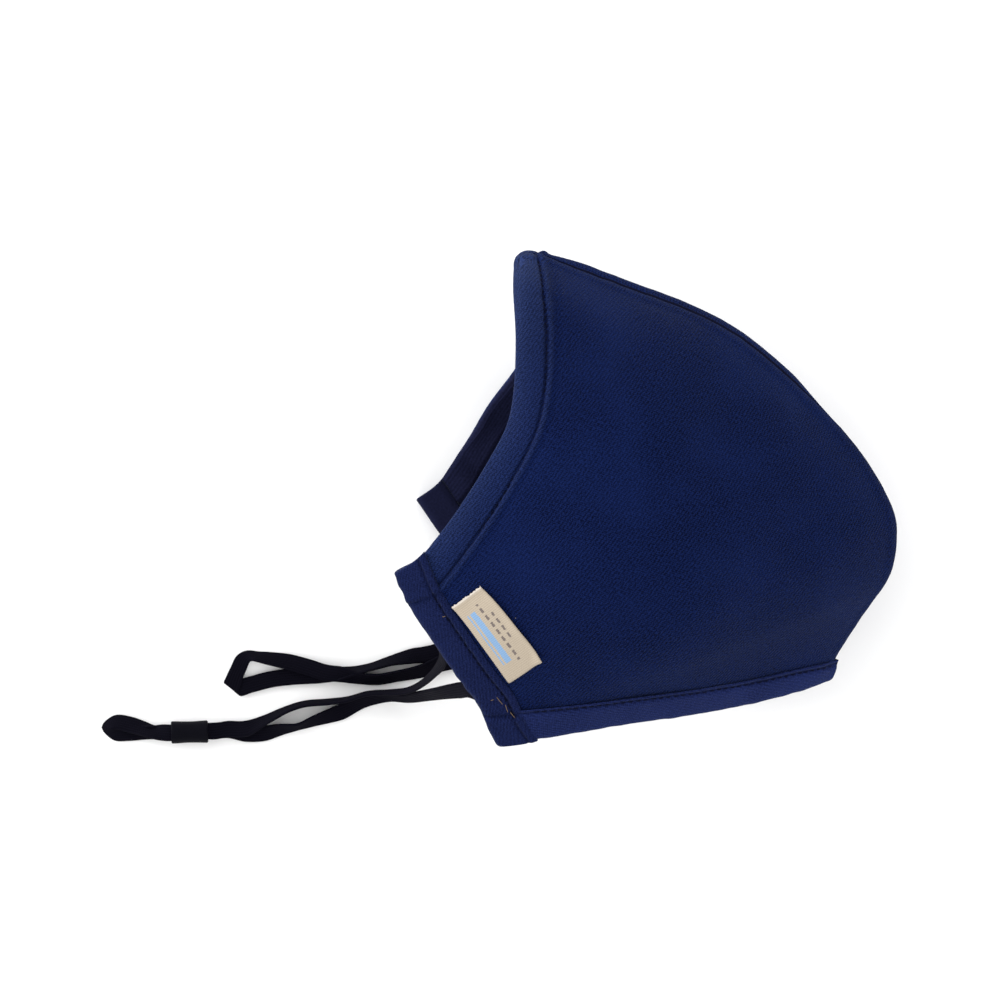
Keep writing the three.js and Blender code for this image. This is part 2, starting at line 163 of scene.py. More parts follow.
LEFT_LOOP_ROUTE = stretches(
    (-46.4, -9.4, 5.8), (-46.6, -16.0, 5.8), (-46.8, -22.0, 3.0),
    (-46.2, -28.0, 1.0), (-46.6, -33.2, 1.0), (-49.4, -36.4, 1.0, 5),
    (-53.0, -37.6, 1.0, 12), (-56.2, -38.0, 1.2, 25),
    (-61.6, -39.2, 1.9, 58), (-65.8, -40.5, 2.1, 68),
    (-69.4, -41.4, 2.0, 65), (-73.6, -42.2, 1.5, 40),
    (-78.6, -42.6, 1.0, 10), (-85.6, -43.0, 1.0),
    (-90.4, -43.6, 1.0), (-95.4, -44.9, 1.0),
    (-99.8, -46.0, 1.2, 0, -39, 4.9), (-99.3, -43.6, 1.5, 0, -11, 4.0),
    (-98.2, -41.0, 1.7, 0, -13, 3.8), (-97.1, -38.7, 1.9, 0, -20, 3.7),
    (-96.2, -38.1, 2.0, 25, -45, 3.7), (-95.2, -37.9, 2.1, 50, -72),
    (-94.0, -38.1, 2.1, 122),
    (-91.5, -38.5, 2.0, 135), (-86.2, -39.4, 2.0, 162),
    (-81.4, -40.7, 2.3), (-77.2, -42.0, 2.6, 5),
    (-73.6, -42.4, 2.8, 20), (-68.8, -43.4, 2.3, 52),
    (-64.5, -43.6, 1.9, 52), (-59.8, -42.8, 1.6, 52),
    (-54.0, -41.6, 1.4, 42), (-48.6, -39.6, 1.2, 10),
    (-42.6, -38.8, 1.2), (-37.6, -38.4, 2.8), (-34.2, -38.2, 5.4),
    (-31.4, -37.6, 6.0), (-28.6, -37.0, 5.8),
)


# ------------------------------------------------------------------ settings

def size_setting(name, description, millimetres):
    return bpy.props.FloatProperty(
        name=name, description=description, default=millimetres * MM, unit="LENGTH")


def colour_setting(name, description, *default):
    return bpy.props.FloatVectorProperty(
        name=name, description=description, subtype="COLOR", size=4, default=(*default, 1))


class ClothSettings(bpy.types.PropertyGroup):
    """The two twill halves."""

    hem_width: size_setting("Hem width", "From the top edge to its stitching", 8)
    twill_pitch: size_setting("Twill pitch", "From one diagonal ridge of the twill to the next",
                              0.80)
    stitch_pitch: size_setting("Stitch pitch", "From one stitch to the next", 1.9)
    deep: colour_setting("Deep navy", "Between the ridges", 0.0008, 0.0020, 0.0140)
    bright: colour_setting("Bright navy", "On the ridges", 0.0050, 0.0122, 0.0640)
    # Painted sheen and highlight: the colour mixed into the folded hem and the ridge past its
    # stitches
    hem_sheen: colour_setting("Painted hem sheen", "Painted sheen and highlight on the folded hem", 0.0110, 0.0190, 0.0640)
    lining: colour_setting("Lining", "The cloth inside the cup", 0.0035, 0.0040, 0.0120)


class BandSettings(bpy.types.PropertyGroup):
    """The bands folded round the ear and chin edges."""

    cloth: size_setting("Folded cloth", "Thickness of the folded cloth", 1.0)
    side_stitches: size_setting("Side stitches", "From the ear edge to the stitching", 7.3)
    chin_stitches: size_setting("Chin stitches", "From the band's free edge to the stitching",
                                0.9)
    deep: colour_setting("Deep navy", "Between the ridges", 0.0024, 0.0038, 0.0180)
    bright: colour_setting("Bright navy", "On the ridges", 0.0092, 0.0150, 0.0620)


class LabelSettings(bpy.types.PropertyGroup):
    """The woven label beside the right side band."""

    length: size_setting("Length", "Along the side band", 23.2)
    width: size_setting("Width", "Square to the side band", 10.3)
    ribbon: colour_setting("Ribbon", "Its plain ground", 0.41, 0.345, 0.265)
    stripe: colour_setting("Stripe", "The woven stripe", 0.16, 0.30, 0.50)
    dashes: colour_setting("Dashes", "The woven rows of dashes", 0.10, 0.08, 0.08)


class ElasticSettings(bpy.types.PropertyGroup):
    """The flat elastics and the tube that gathers one of them."""

    width: size_setting("Width", "Of the flat elastic", 4.0)
    thickness: size_setting("Thickness", "Of the flat elastic", 0.8)
    black: colour_setting("Elastic black", "Knitted elastic", 0.0012, 0.0011, 0.0026)
    tube: colour_setting("Stopper black", "Soft plastic of the tube", 0.0015, 0.0015, 0.0030)


class StageSettings(bpy.types.PropertyGroup):
    """Floor, lights and camera."""

    aim: bpy.props.FloatVectorProperty(
        name="Aim", description="The point on the floor under the camera", size=2,
        default=(-35.16 * MM, -0.36 * MM), unit="LENGTH")
    view_width: size_setting("View width", "How much of the floor the picture spans", 240)
    camera_height: bpy.props.FloatProperty(
        name="Camera height", description="Above the middle of the mask", default=10.0,
        unit="LENGTH")
    floor: colour_setting("Floor", "Colour of the floor", 0.93, 0.93, 0.93)
    sky: bpy.props.FloatProperty(
        name="Even light", description="Strength of the light from all round", default=1.45)
    lamp: bpy.props.FloatProperty(
        name="Side light", description="Power of the large soft lamp", default=60.0,
        unit="POWER")


# ------------------------------------------------------------------ curves and surfaces

class SmoothLine:
    """A centripetal Catmull-Rom line, walked by its parameter or by its length."""

    DIVISIONS = 200

    def __init__(self, points):
        points = np.asarray(points, float)
        before = 2 * points[0] - points[1]
        after = 2 * points[-1] - points[-2]
        self.knots = np.vstack([before, points, after])
        self.gaps = np.sqrt(np.linalg.norm(np.diff(self.knots, axis=0), axis=1))
        self.ticks = np.linspace(0, 1, self.DIVISIONS + 1)
        steps = np.linalg.norm(np.diff(self.at(self.ticks), axis=0), axis=1)
        self.lengths = np.concatenate([[0], np.cumsum(steps)])
        self.length = self.lengths[-1]

    def at(self, t):
        """Points at parameters from 0 to 1, even from knot to knot."""
        spans = len(self.knots) - 3
        place = np.clip(np.asarray(t, float), 0, 1) * spans
        first = np.minimum(place.astype(int), spans - 1)
        w = (place - first)[..., None]
        p0, p1, p2, p3 = (self.knots[first + k] for k in range(4))
        g0, g1, g2 = (self.gaps[first + k][..., None] for k in range(3))
        leave = ((p1 - p0) / g0 - (p2 - p0) / (g0 + g1) + (p2 - p1) / g1) * g1
        arrive = ((p2 - p1) / g1 - (p3 - p1) / (g1 + g2) + (p3 - p2) / g2) * g1
        square, cube = w * w, w * w * w
        return ((2 * cube - 3 * square + 1) * p1 + (cube - 2 * square + w) * leave
                + (3 * square - 2 * cube) * p2 + (cube - square) * arrive)

    def along(self, share):
        """Points at shares of the length from 0 to 1."""
        lengths = np.asarray(share, float) * self.length
        return self.at(np.interp(lengths, self.lengths, self.ticks))


def outline(rows):
    return SmoothLine([(row.forward, row.up, row.out) for row in rows])


SEAM = outline(CENTRE_SEAM)
TOP = outline(TOP_EDGE)
CHIN = outline(CHIN_EDGE)
EAR = outline(EAR_EDGE)
SLID = SmoothLine([(i, row.slid) for i, row in enumerate(TOP_EDGE)])


def half_surface(across, along):
    """A half's outer surface in the mask's frame: across from ear to seam, along from
    chin to top."""
    a = np.clip(across, 0, 1)[..., None]
    b = np.clip(along, 0, 1)[..., None]
    point = (1 - a) * EAR.along(b[..., 0]) + a * SEAM.along(b[..., 0])
    point = point + (1 - b) * CHIN.along(a[..., 0]) + b * TOP.along(a[..., 0])
    point = point - (1 - a) * (1 - b) * EAR.along(0) - (1 - a) * b * EAR.along(1)
    point = point - a * (1 - b) * SEAM.along(0) - a * b * SEAM.along(1)
    point[..., 2] += (CHEEK_FULLNESS * np.sin(math.pi * a) * np.sin(math.pi * b))[..., 0]
    return point


def lying_turn():
    cos_y, sin_y = math.cos(LEAN_FRONT_UP), math.sin(LEAN_FRONT_UP)
    cos_x, sin_x = math.cos(LEAN_NOSE_UP), math.sin(LEAN_NOSE_UP)
    front = np.array(((cos_y, 0, sin_y), (0, 1, 0), (-sin_y, 0, cos_y)))
    nose = np.array(((1, 0, 0), (0, cos_x, -sin_x), (0, sin_x, cos_x)))
    return front @ nose


LYING = lying_turn()


def lie(points):
    return points @ LYING.T + LIES_AT


def stand(points):
    return (points - LIES_AT) @ LYING


def size_of(vectors):
    return np.linalg.norm(vectors, axis=-1)


def smooth_step(x):
    x = np.clip(x, 0, 1)
    return x * x * (3 - 2 * x)


def leaving(across, along):
    """Slopes of a half's surface at a place, and the area that they span."""
    step = 0.05
    step_a = np.where(across < 0.5, step, -step)
    step_b = np.where(along < 0.5, step, -step)
    at = half_surface(across, along)
    slope_a = (half_surface(across + step_a, along) - at) / step_a[..., None]
    slope_b = (half_surface(across, along + step_b) - at) / step_b[..., None]
    return slope_a, slope_b, size_of(np.cross(slope_a, slope_b))


def across_length(along):
    """Distance square in from the ear edge for a whole step across."""
    along = np.asarray(along, float)
    _, slope_b, area = leaving(np.zeros_like(along), along)
    return area / size_of(slope_b)


def along_length(across):
    """Distance square in from the chin edge for a whole step along."""
    across = np.asarray(across, float)
    slope_a, _, area = leaving(across, np.zeros_like(across))
    return area / size_of(slope_a)


def chin_band_width(across):
    """The chin band narrows toward the front."""
    way = np.clip(across, 0, 1) ** 3.5
    return CHIN_BAND_EAR_WIDTH + way * (CHIN_BAND_FRONT_WIDTH - CHIN_BAND_EAR_WIDTH)


def band_lift(across, along):
    """How far the lying half is held up by the bands under it."""
    ramp, margin = 6.0, 2.5
    from_ear = across * across_length(along) - SIDE_BAND_WIDTH - margin
    from_chin = along * along_length(across) - chin_band_width(across) - margin
    away = np.minimum(from_ear, from_chin) / ramp
    return BAND_STEP * (1 - smooth_step(away))


def rest_on(height, level):
    """Heights held smoothly at or above a level."""
    softness = 1.5
    over = height - level
    eased = level + (over + softness) ** 2 / (4 * softness)
    return np.where(over > softness, height, np.where(over < -softness, level, eased))


def half_lying(side, across, along):
    point = half_surface(across, along)
    if side == "right":
        return lie(point)
    slid = SLID.at(np.clip(across, 0, 1))[..., 1]
    pulled = LEFT_EAR_PULLED * (1 - across) ** 4 * 4 * along * (1 - along)
    point[..., 0] += pulled - slid * along ** 3
    point[..., 2] *= -1
    point = lie(point)
    point[..., 2] = rest_on(point[..., 2], band_lift(across, along))
    return point


def outward(side, across, along):
    """Outward normals of a lying half."""
    step = 0.003
    across, along = np.clip(across, step, 1 - step), np.clip(along, step, 1 - step)
    low_a, high_a = across - step, across + step
    low_b, high_b = along - step, along + step
    slope_a = half_lying(side, high_a, along) - half_lying(side, low_a, along)
    slope_b = half_lying(side, across, high_b) - half_lying(side, across, low_b)
    normal = np.cross(slope_a, slope_b)
    normal /= size_of(normal)[..., None]
    return -normal if side == "left" else normal


def on_half(side, across, along, height):
    """Points a height above a half's surface, mitred where the halves meet."""
    sign = -1 if side == "left" else 1
    most_mitre = 1.5
    across, along, height = np.broadcast_arrays(across, along, height)
    own = stand(half_lying(side, across, along))
    normal = outward(side, across, along) @ LYING
    reach = 2 * np.abs(normal[..., 2] * height)
    free = np.minimum(np.abs(own[..., 2]) / np.maximum(reach, 1e-9), 1)
    mitre = np.minimum(1 / np.maximum(1 - normal[..., 2] ** 2, 1e-9), most_mitre)
    spread = np.where(free < 1, mitre + (1 - mitre) * free, 1)
    own[..., :2] += normal[..., :2] * (spread * height)[..., None]
    own[..., 2] += normal[..., 2] * free * height
    own[..., 2] = sign * np.maximum(sign * own[..., 2], CLEARANCE / 2)
    return lie(own)


def beside_ear(inward, from_top):
    """Places square in from the ear edge, a distance down from its top end."""
    foot = 1 - from_top / EAR.length
    across = inward / across_length(foot)
    slope_a, slope_b, _ = leaving(np.zeros_like(foot), foot)
    back = np.sum(slope_a * slope_b, axis=-1) / np.sum(slope_b * slope_b, axis=-1)
    return across, foot - across * back


def edge_measure(points, line):
    """Distance of points from an edge line, and how far along it their foot lies."""
    samples = line.along(np.linspace(0, 1, 501))
    flat = points.reshape(-1, 3)
    distance = np.empty(len(flat))
    foot = np.empty(len(flat))
    for start in range(0, len(flat), 4000):
        part = flat[start:start + 4000, None] - samples[None]
        gaps = np.einsum("ijk,ijk->ij", part, part)
        nearest = gaps.argmin(axis=1)
        distance[start:start + 4000] = np.sqrt(gaps.min(axis=1))
        foot[start:start + 4000] = nearest * line.length / 500
    shape = points.shape[:-1]
    return distance.reshape(shape), foot.reshape(shape)


def bell(x, width):
    """1 at 0, falling away over a width on both sides."""
    return np.exp(-(x / width) ** 2)


def ripples(x, y, wavelength, seed, waves=7):
    """Smooth unevenness between about -1 and 1."""
    rng = np.random.default_rng(seed)
    total = np.zeros(np.broadcast(x, y).shape)
    for _ in range(waves):
        angle = rng.uniform(0, TURN)
        rate = TURN / (wavelength * rng.uniform(0.7, 1.5))
        phase = rng.uniform(0, TURN)
        total = total + np.sin(rate * (x * math.cos(angle) + y * math.sin(angle)) + phase)
    return total / math.sqrt(waves)


def lines(*stretches):
    """Places of mesh lines from 0 to 1: each stretch is (its end, its steps)."""
    places = [0.0]
    for end, steps in stretches:
        places += list(np.linspace(places[-1], end, steps + 1)[1:])
    return np.array(places)


# ------------------------------------------------------------------ mesh building

def closed_cloth(name, outer, inner, maps, inner_material=0, dark_inside_from=None):
    """A closed body between two grids of points in millimetres, joined round their rim.
    maps holds UV maps: a name, and the outer and inner grids of coordinates. From a
    given column on, the outer grid takes the second material, on the bands a dark cloth
    painted in as shade."""
    rows, columns = outer.shape[:2]
    count = rows * columns
    ids = np.arange(count).reshape(rows, columns)

    def quads(a):
        corners = (a[:-1, :-1], a[:-1, 1:], a[1:, 1:], a[1:, :-1])
        return np.stack([c.ravel() for c in corners], axis=1)

    rim = np.concatenate([ids[0, :-1], ids[:-1, -1], ids[-1, :0:-1], ids[:0:-1, 0]])
    next_on_rim = np.roll(rim, -1)
    walls = np.stack([rim, rim + count, next_on_rim + count, next_on_rim], axis=1)
    faces = np.concatenate([quads(ids), quads(ids)[:, ::-1] + count, walls])
    points = np.concatenate([outer.reshape(-1, 3), inner.reshape(-1, 3)])
    spots = [(key, np.concatenate([a.reshape(-1, 2), b.reshape(-1, 2)]))
             for key, a, b in maps]
    finishes = (np.arange(len(faces)) >= len(quads(ids))) * inner_material
    if dark_inside_from is not None:
        column = np.arange(len(quads(ids))) % (columns - 1)
        finishes[:len(column)] = column >= dark_inside_from
    return mesh_object(name, points, faces, spots, finishes)


def mesh_object(name, points, faces, spots=(), finishes=None):
    """A mesh from points in millimetres: points in one place are joined, faces without
    area are dropped, and it is turned so that its faces point out."""
    _, first, joined = np.unique(
        np.round(points, 4), axis=0, return_index=True, return_inverse=True)
    joined = joined.ravel()
    faces = joined[faces]
    corners = [list(dict.fromkeys(face)) for face in faces.tolist()]
    kept = [i for i, face in enumerate(corners) if len(face) > 2]
    mesh = bpy.data.meshes.new(name)
    mesh.from_pydata((points[first] * MM).tolist(), [], [corners[i] for i in kept])
    for key, spot in spots:
        lay_map(mesh, key, spot[first])
    if finishes is not None:
        mesh.polygons.foreach_set("material_index", np.asarray(finishes)[kept].tolist())
    mesh.polygons.foreach_set("use_smooth", [True] * len(mesh.polygons))
    if mesh_volume(mesh) < 0:
        mesh.flip_normals()
    mesh.validate()
    piece = bpy.data.objects.new(name, mesh)
    bpy.context.scene.collection.objects.link(piece)
    return piece


def lay_map(mesh, name, spots):
    """A UV map from a place for each point."""
    loops = np.empty(len(mesh.loops), int)
    mesh.loops.foreach_get("vertex_index", loops)
    layer = mesh.uv_layers.new(name=name)
    layer.uv.foreach_set("vector", spots[loops].astype(np.float32).ravel())


def ring_quads(ids):
    """Faces between neighbouring rings of points."""
    turned = np.roll(ids, -1, axis=1)
    quads = np.stack([ids[:-1], turned[:-1], turned[1:], ids[1:]], axis=-1)
    return quads.reshape(-1, 4).tolist()


def mesh_volume(mesh):
    mesh.calc_loop_triangles()
    corners = np.empty(len(mesh.loop_triangles) * 3, int)
    mesh.loop_triangles.foreach_get("vertices", corners)
    points = np.empty(len(mesh.vertices) * 3)
    mesh.vertices.foreach_get("co", points)
    a, b, c = points.reshape(-1, 3)[corners.reshape(-1, 3)].transpose(1, 0, 2)
    return np.einsum("ij,ij->", a, np.cross(b, c)) / 6


def finish_piece(piece, slot, *materials):
    for material in materials:
        piece.data.materials.append(material)
    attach(piece, "root")


# ------------------------------------------------------------------ materials

def operator(operation, swapped=False):
    """A Python operator that adds a Math node."""
    def add_node(first, second):
        values = (second, first) if swapped else (first, second)
        return first.maths(operation, *values)
    return add_node


def times(factor, colour):
    """A colour made lighter or darker."""
    return tuple(factor * c for c in colour[:3]) + (1.0,)


class Wire:
    """A value in a material: sums on it add Math nodes."""

    def __init__(self, paint, socket):
        self.paint = paint
        self.socket = socket

    def maths(self, operation, *values):
        settings = {"operation": operation}
        return self.paint.add("ShaderNodeMath", settings, dict(enumerate(values)))

    __add__ = operator("ADD")
    __radd__ = operator("ADD", swapped=True)
    __sub__ = operator("SUBTRACT")
    __rsub__ = operator("SUBTRACT", swapped=True)
    __mul__ = operator("MULTIPLY")
    __rmul__ = operator("MULTIPLY", swapped=True)
    __truediv__ = operator("DIVIDE")
    __lt__ = operator("LESS_THAN")
    __gt__ = operator("GREATER_THAN")

    def __abs__(self):
        return self.maths("ABSOLUTE", self)

    def wave(self):
        """Between -1 and 1, once for each whole step."""
        return (self * TURN).maths("COSINE", self * TURN)

    def fraction(self):
        return self.maths("FRACT", self)


class Paint:
    """A material in the making."""

    def __init__(self, name, **surface):
        self.material = bpy.data.materials.new(name)
        self.material.use_nodes = True
        self.tree = self.material.node_tree
        self.shader = self.tree.nodes["Principled BSDF"]
        for socket, value in surface.items():
            self.shader.inputs[socket.replace("_", " ")].default_value = value

    def add(self, kind, settings, sockets, output=0):
        """A node of any type: its settings first, then its sockets' values or links."""
        node = self.tree.nodes.new(kind)
        for key, value in settings.items():
            setattr(node, key, value)
        for key, value in sockets.items():
            self.feed(node.inputs[key], value)
        return Wire(self, node.outputs[output])

    def feed(self, socket, value):
        if isinstance(value, Wire):
            self.tree.links.new(value.socket, socket)
        else:
            socket.default_value = value

    def place(self, uv_map):
        """Both coordinates of a UV map, in millimetres, and the vector of them."""
        spot = self.add("ShaderNodeUVMap", {"uv_map": uv_map}, {})
        u = self.add("ShaderNodeSeparateXYZ", {}, {0: spot}, 0)
        v = self.add("ShaderNodeSeparateXYZ", {}, {0: spot}, 1)
        return u, v, spot

    def pair(self, x, y):
        return self.add("ShaderNodeCombineXYZ", {}, {0: x, 1: y})

    def noise(self, spot, scale, detail=2.0):
        settings = {"noise_dimensions": "2D"}
        sockets = {"Vector": spot, "Scale": scale, "Detail": detail}
        return self.add("ShaderNodeTexNoise", settings, sockets)

    def specks(self, spot, spacing, radius):
        """Lone round specks."""
        settings = {"voronoi_dimensions": "2D"}
        sockets = {"Vector": spot, "Scale": 1 / spacing}
        return self.add("ShaderNodeTexVoronoi", settings, sockets) < radius / spacing

    def smooth(self, value, low, high):
        """From 0 at low to 1 at high, eased."""
        settings = {"interpolation_type": "SMOOTHSTEP"}
        sockets = {"Value": value, "From Min": low, "From Max": high}
        return self.add("ShaderNodeMapRange", settings, sockets)

    def mix(self, share, first, second):
        settings = {"data_type": "RGBA"}
        return self.add("ShaderNodeMix", settings, {0: share, 6: first, 7: second}, 2)

    def colour(self, value):
        self.feed(self.shader.inputs["Base Color"], value)

    def rough(self, value):
        self.feed(self.shader.inputs["Roughness"], value)

    def relief(self, height, depth, strength=1.0):
        """A bump whose height of 1 stands for a depth in metres."""
        sockets = {"Strength": strength, "Distance": depth, "Height": height}
        bump = self.add("ShaderNodeBump", {}, sockets)
        self.feed(self.shader.inputs["Normal"], bump)


CLOTH_SURFACE = {
    "Specular_IOR_Level": 0.02,
    "Sheen_Weight": 0.06,
    "Sheen_Roughness": 0.35,
    "Sheen_Tint": (0.60, 0.72, 1.0, 1.0),
}
LINT = (0.30, 0.26, 0.20, 1)
# Painted shade for the grooves of the stitch lines
GROOVE_PAINTED_SHADE = (0.0012, 0.0014, 0.0060, 1)


def twill_ridges(paint, uv_map, degrees, pitch):
    """Height of a twill, about -0.5 to 0.5: diagonal ridges cut into floats."""
    u, v, spot = paint.place(uv_map)
    angle = math.radians(degrees)
    across = (v * math.cos(angle) - u * math.sin(angle)) / pitch
    along = (u * math.cos(angle) + v * math.sin(angle)) / pitch
    drift = paint.noise(spot, 0.3) * 0.8
    ridge = (across + drift).wave()
    floats = (along * 1.55 + across * 0.5 + drift * 0.5).wave()
    yarns = paint.noise(paint.pair(across * 3.4, along * 1.1), 1.0, 2.0) - 0.5
    fuzz = paint.noise(spot, 3.2, 1.0) - 0.5
    return ridge * 0.27 + floats * 0.24 + yarns * 2.5 + fuzz * 1.5, spot


def twill(name, deep, bright, degrees, pitch, groove, contrast=1.0, hem=None):
    """Twill cloth. groove gives a UV map and the stitch line's coordinate in it, and hem
    the colour of the painted sheen and highlight on the hem and beside that line."""
    paint = Paint(name, **CLOTH_SURFACE)
    height, spot = twill_ridges(paint, "cloth", degrees, pitch)
    height = height * contrast + 0.5
    cloth = paint.mix(height, deep, bright)
    # Large random patches of paler navy
    patches = paint.noise(spot, 0.045, 3.0)
    patch_colour = times(1.35, bright)
    cloth = paint.mix((patches - 0.40) * 0.7, cloth, patch_colour)
    uv_map, at = groove
    distance, from_seam, _ = paint.place(uv_map)
    if hem:
        # Painted sheen and highlight: the hem is mixed paler, more at its crest and toward the
        # nose, and so is the ridge just past the stitch line
        turned_in = 1 - paint.smooth(distance, at - 0.8, at + 0.2)
        crest = 1 - paint.smooth(distance, 0.0, at * 0.8)
        beside = 1 - paint.smooth(abs(distance - (at + 1.1)), 0.2, 0.9)
        by_nose = 1 - paint.smooth(from_seam, 4.0, 40.0)
        share = turned_in * (0.35 + 0.45 * crest + 0.5 * by_nose) + beside * 0.4
        hem_sheen_tones = [times(factor, hem) for factor in (0.55, 1.5)]
        cloth = paint.mix(share, cloth, paint.mix(height, *hem_sheen_tones))
    # Painted shade: the stitch line's groove is darkened in the colour as well as sunk in the
    # relief
    sunk = 1 - paint.smooth(abs(distance - at), 0.1, 0.6)
    cloth = paint.mix(sunk * 0.4, cloth, GROOVE_PAINTED_SHADE)
    cloth = paint.mix(paint.specks(spot, 60.0, 0.15) * 0.35, cloth, LINT)
    paint.colour(cloth)
    paint.rough(0.82 + 0.12 * height)
    paint.relief(height - sunk, 0.13 * MM)
    return paint.material


def lining_cloth(name, colour, hem=None):
    """Fine plain cloth; the twill turned in at the hem is paler and ribbed."""
    paint = Paint(name, **CLOTH_SURFACE)
    _, _, spot = paint.place("cloth")
    yarn = paint.noise(spot, 1.8, 3.0)
    light = times(1.9, colour)
    cloth = paint.mix(yarn, colour, light)
    if hem:
        top, _, _ = paint.place("edges")
        hemmed = 1 - paint.smooth(top, hem - 2.2, hem - 1.2)
        ribs = (top / 0.8).wave() * 0.25 + yarn
        pale = times(3.2, colour)
        cloth = paint.mix(hemmed * ribs, cloth, pale)
    paint.colour(cloth)
    paint.rough(0.94 - 0.08 * yarn)
    paint.relief(yarn, 0.12 * MM)
    return paint.material


def thread(name, colour, light):
    """Twisted sewing thread."""
    paint = Paint(name, Specular_IOR_Level=0.04)
    u, v, _ = paint.place("thread")
    twist = (u / 0.35 + v * 1.5).wave() * 0.5 + 0.5
    paint.colour(paint.mix(twist, colour, light))
    paint.rough(0.75 - 0.1 * twist)
    paint.relief(twist, 0.03 * MM)
    return paint.material


# ------------------------------------------------------------------ the halves

def panel_grid(side):
    """Places of a half's mesh lines, which start beside the bands' folds."""
    columns = lines((0.10, 8), (0.90, 84), (0.955, 10), (1.0, 24))
    rows = lines((0.08, 8), (0.84, 80), (0.985, 50), (1.0, 10))
    along, across = np.meshgrid(rows, columns, indexing="ij")
    start = BAND_STEP / along_length(across)
    along = start + (1 - start) * along
    start = BAND_STEP / across_length(along)
    across = start + (1 - start) * across
    return across, along


def flat_pattern(steps=36, rounds=1500):
    """The cut shape of a half: its surface laid flat with its lengths kept. Returns a
    grid of flat places for even shares across and along."""
    share = np.linspace(0, 1, steps + 1)
    across, along = np.meshgrid(share, share, indexing="ij")
    solid = half_surface(across, along)
    flat = solid[..., :2].copy()
    whole = slice(None)
    ties = []
    for di, dj in ((1, 0), (0, 1), (1, 1), (1, -1)):
        near_j, far_j = (slice(1, None), slice(None, -1)) if dj < 0 else (
            slice(None, -dj or None), slice(dj, None))
        near = (slice(None, -di or None), near_j)
        far = (slice(di, None) if di else whole, far_j)
        ties.append((near, far, size_of(solid[far] - solid[near])))
    for _ in range(rounds):
        push = np.zeros_like(flat)
        for near, far, length in ties:
            gap = flat[far] - flat[near]
            pull = gap * (1 - length / size_of(gap))[..., None]
            push[near] += pull
            push[far] -= pull
        flat += 0.11 * push
    return flat


def on_pattern(pattern, across, along):
    """Flat places of shares across and along, between the pattern's own."""
    steps = len(pattern) - 1
    a, b = np.clip(across, 0, 1) * steps, np.clip(along, 0, 1) * steps
    i, j = np.minimum(a.astype(int), steps - 1), np.minimum(b.astype(int), steps - 1)
    wa, wb = (a - i)[..., None], (b - j)[..., None]
    low = pattern[i, j] * (1 - wa) + pattern[i + 1, j] * wa
    high = pattern[i, j + 1] * (1 - wa) + pattern[i + 1, j + 1] * wa
    return low * (1 - wb) + high * wb


def hem_at(foot, hem):
    """Width of the hem, which narrows toward the nose."""
    return hem * (1 - 0.27 * np.exp((foot - TOP.length) / 9))


def panel_relief(top, top_foot, seam, seam_foot, hem):
    """Outer relief of a half: puffed hem, stitch line, seam and soft unevenness."""
    groove = top - hem
    near_stitches = np.exp(-np.abs(groove) / 2.5)
    relief = 0.22 * np.sin(math.pi * np.clip(top / hem, 0, 1))
    relief -= 0.32 * bell(groove, 0.5)
    relief += 0.42 * bell(groove - 1.1, 0.6)
    relief -= 0.15 * bell(groove - 2.8, 0.8)
    relief += 0.10 * near_stitches * ripples(top_foot, 0.25 * top, 4.5, 11)
    relief -= 0.45 * bell(seam, 0.6)
    relief += 0.20 * bell(seam - 2.2, 1.2)
    relief += 0.06 * np.exp(-seam / 2.5) * ripples(seam_foot, 0.2 * seam, 5.0, 12)
    fade = smooth_step(seam / 12) * smooth_step(top / 6)
    relief += 0.35 * fade * ripples(top_foot, top, 34.0, 13)
    return relief


def lining_relief(top, top_foot, seam, seam_foot, hem):
    """How far the inside stands in from the wall: hem layer and seam allowances."""
    relief = 0.45 * (1 - smooth_step((top - hem + 0.4) / 0.8))
    relief += 0.55 * (1 - smooth_step((seam - 6.0) / 1.2))
    relief -= 0.35 * bell(top - hem + 1.2, 0.5)
    relief += 0.12 * ripples(top_foot, top, 9.0, 21)
    return relief


def make_panel(side, pattern, settings):
    hem = settings.hem_width / MM
    across, along = panel_grid(side)
    surface = half_surface(across, along)
    top, top_foot = edge_measure(surface, TOP)
    seam, seam_foot = edge_measure(surface, SEAM)
    rim_radius = 1.1
    open_rim = 1 - np.clip(top / rim_radius, 0, 1)
    full = np.sqrt(np.clip(1 - open_rim ** 2, 0, 1))
    full[-1] = 0
    local_hem = hem_at(top_foot, hem)
    relief = panel_relief(top, top_foot, seam, seam_foot, local_hem)
    if side == "left":
        over_nose = smooth_step((SEAM.length - 5 - seam_foot) / 14)
        over_nose *= smooth_step((seam_foot - NOSE_RIDGE_START) / 15)
        relief += 1.4 * over_nose * bell(seam - 2.5, 2.2)
    lining = lining_relief(top, top_foot, seam, seam_foot, local_hem)
    middle = -WALL / 2
    outer = on_half(side, across, along, middle + (relief - middle) * full)
    inner = on_half(side, across, along, middle + (middle - lining) * full)
    if side == "left":
        on_floor(outer)
        inner[..., 2] = np.maximum(inner[..., 2], 0.8 * full + FLOOR_GAP)
    cloth = on_pattern(pattern, across, along)
    edges = np.stack([top * hem / local_hem, seam], axis=-1)
    maps = (("cloth", cloth, cloth), ("edges", edges, edges))
    return closed_cloth(f"{side}_panel_cloth", outer, inner, maps, inner_material=1)


# ------------------------------------------------------------------ the bands

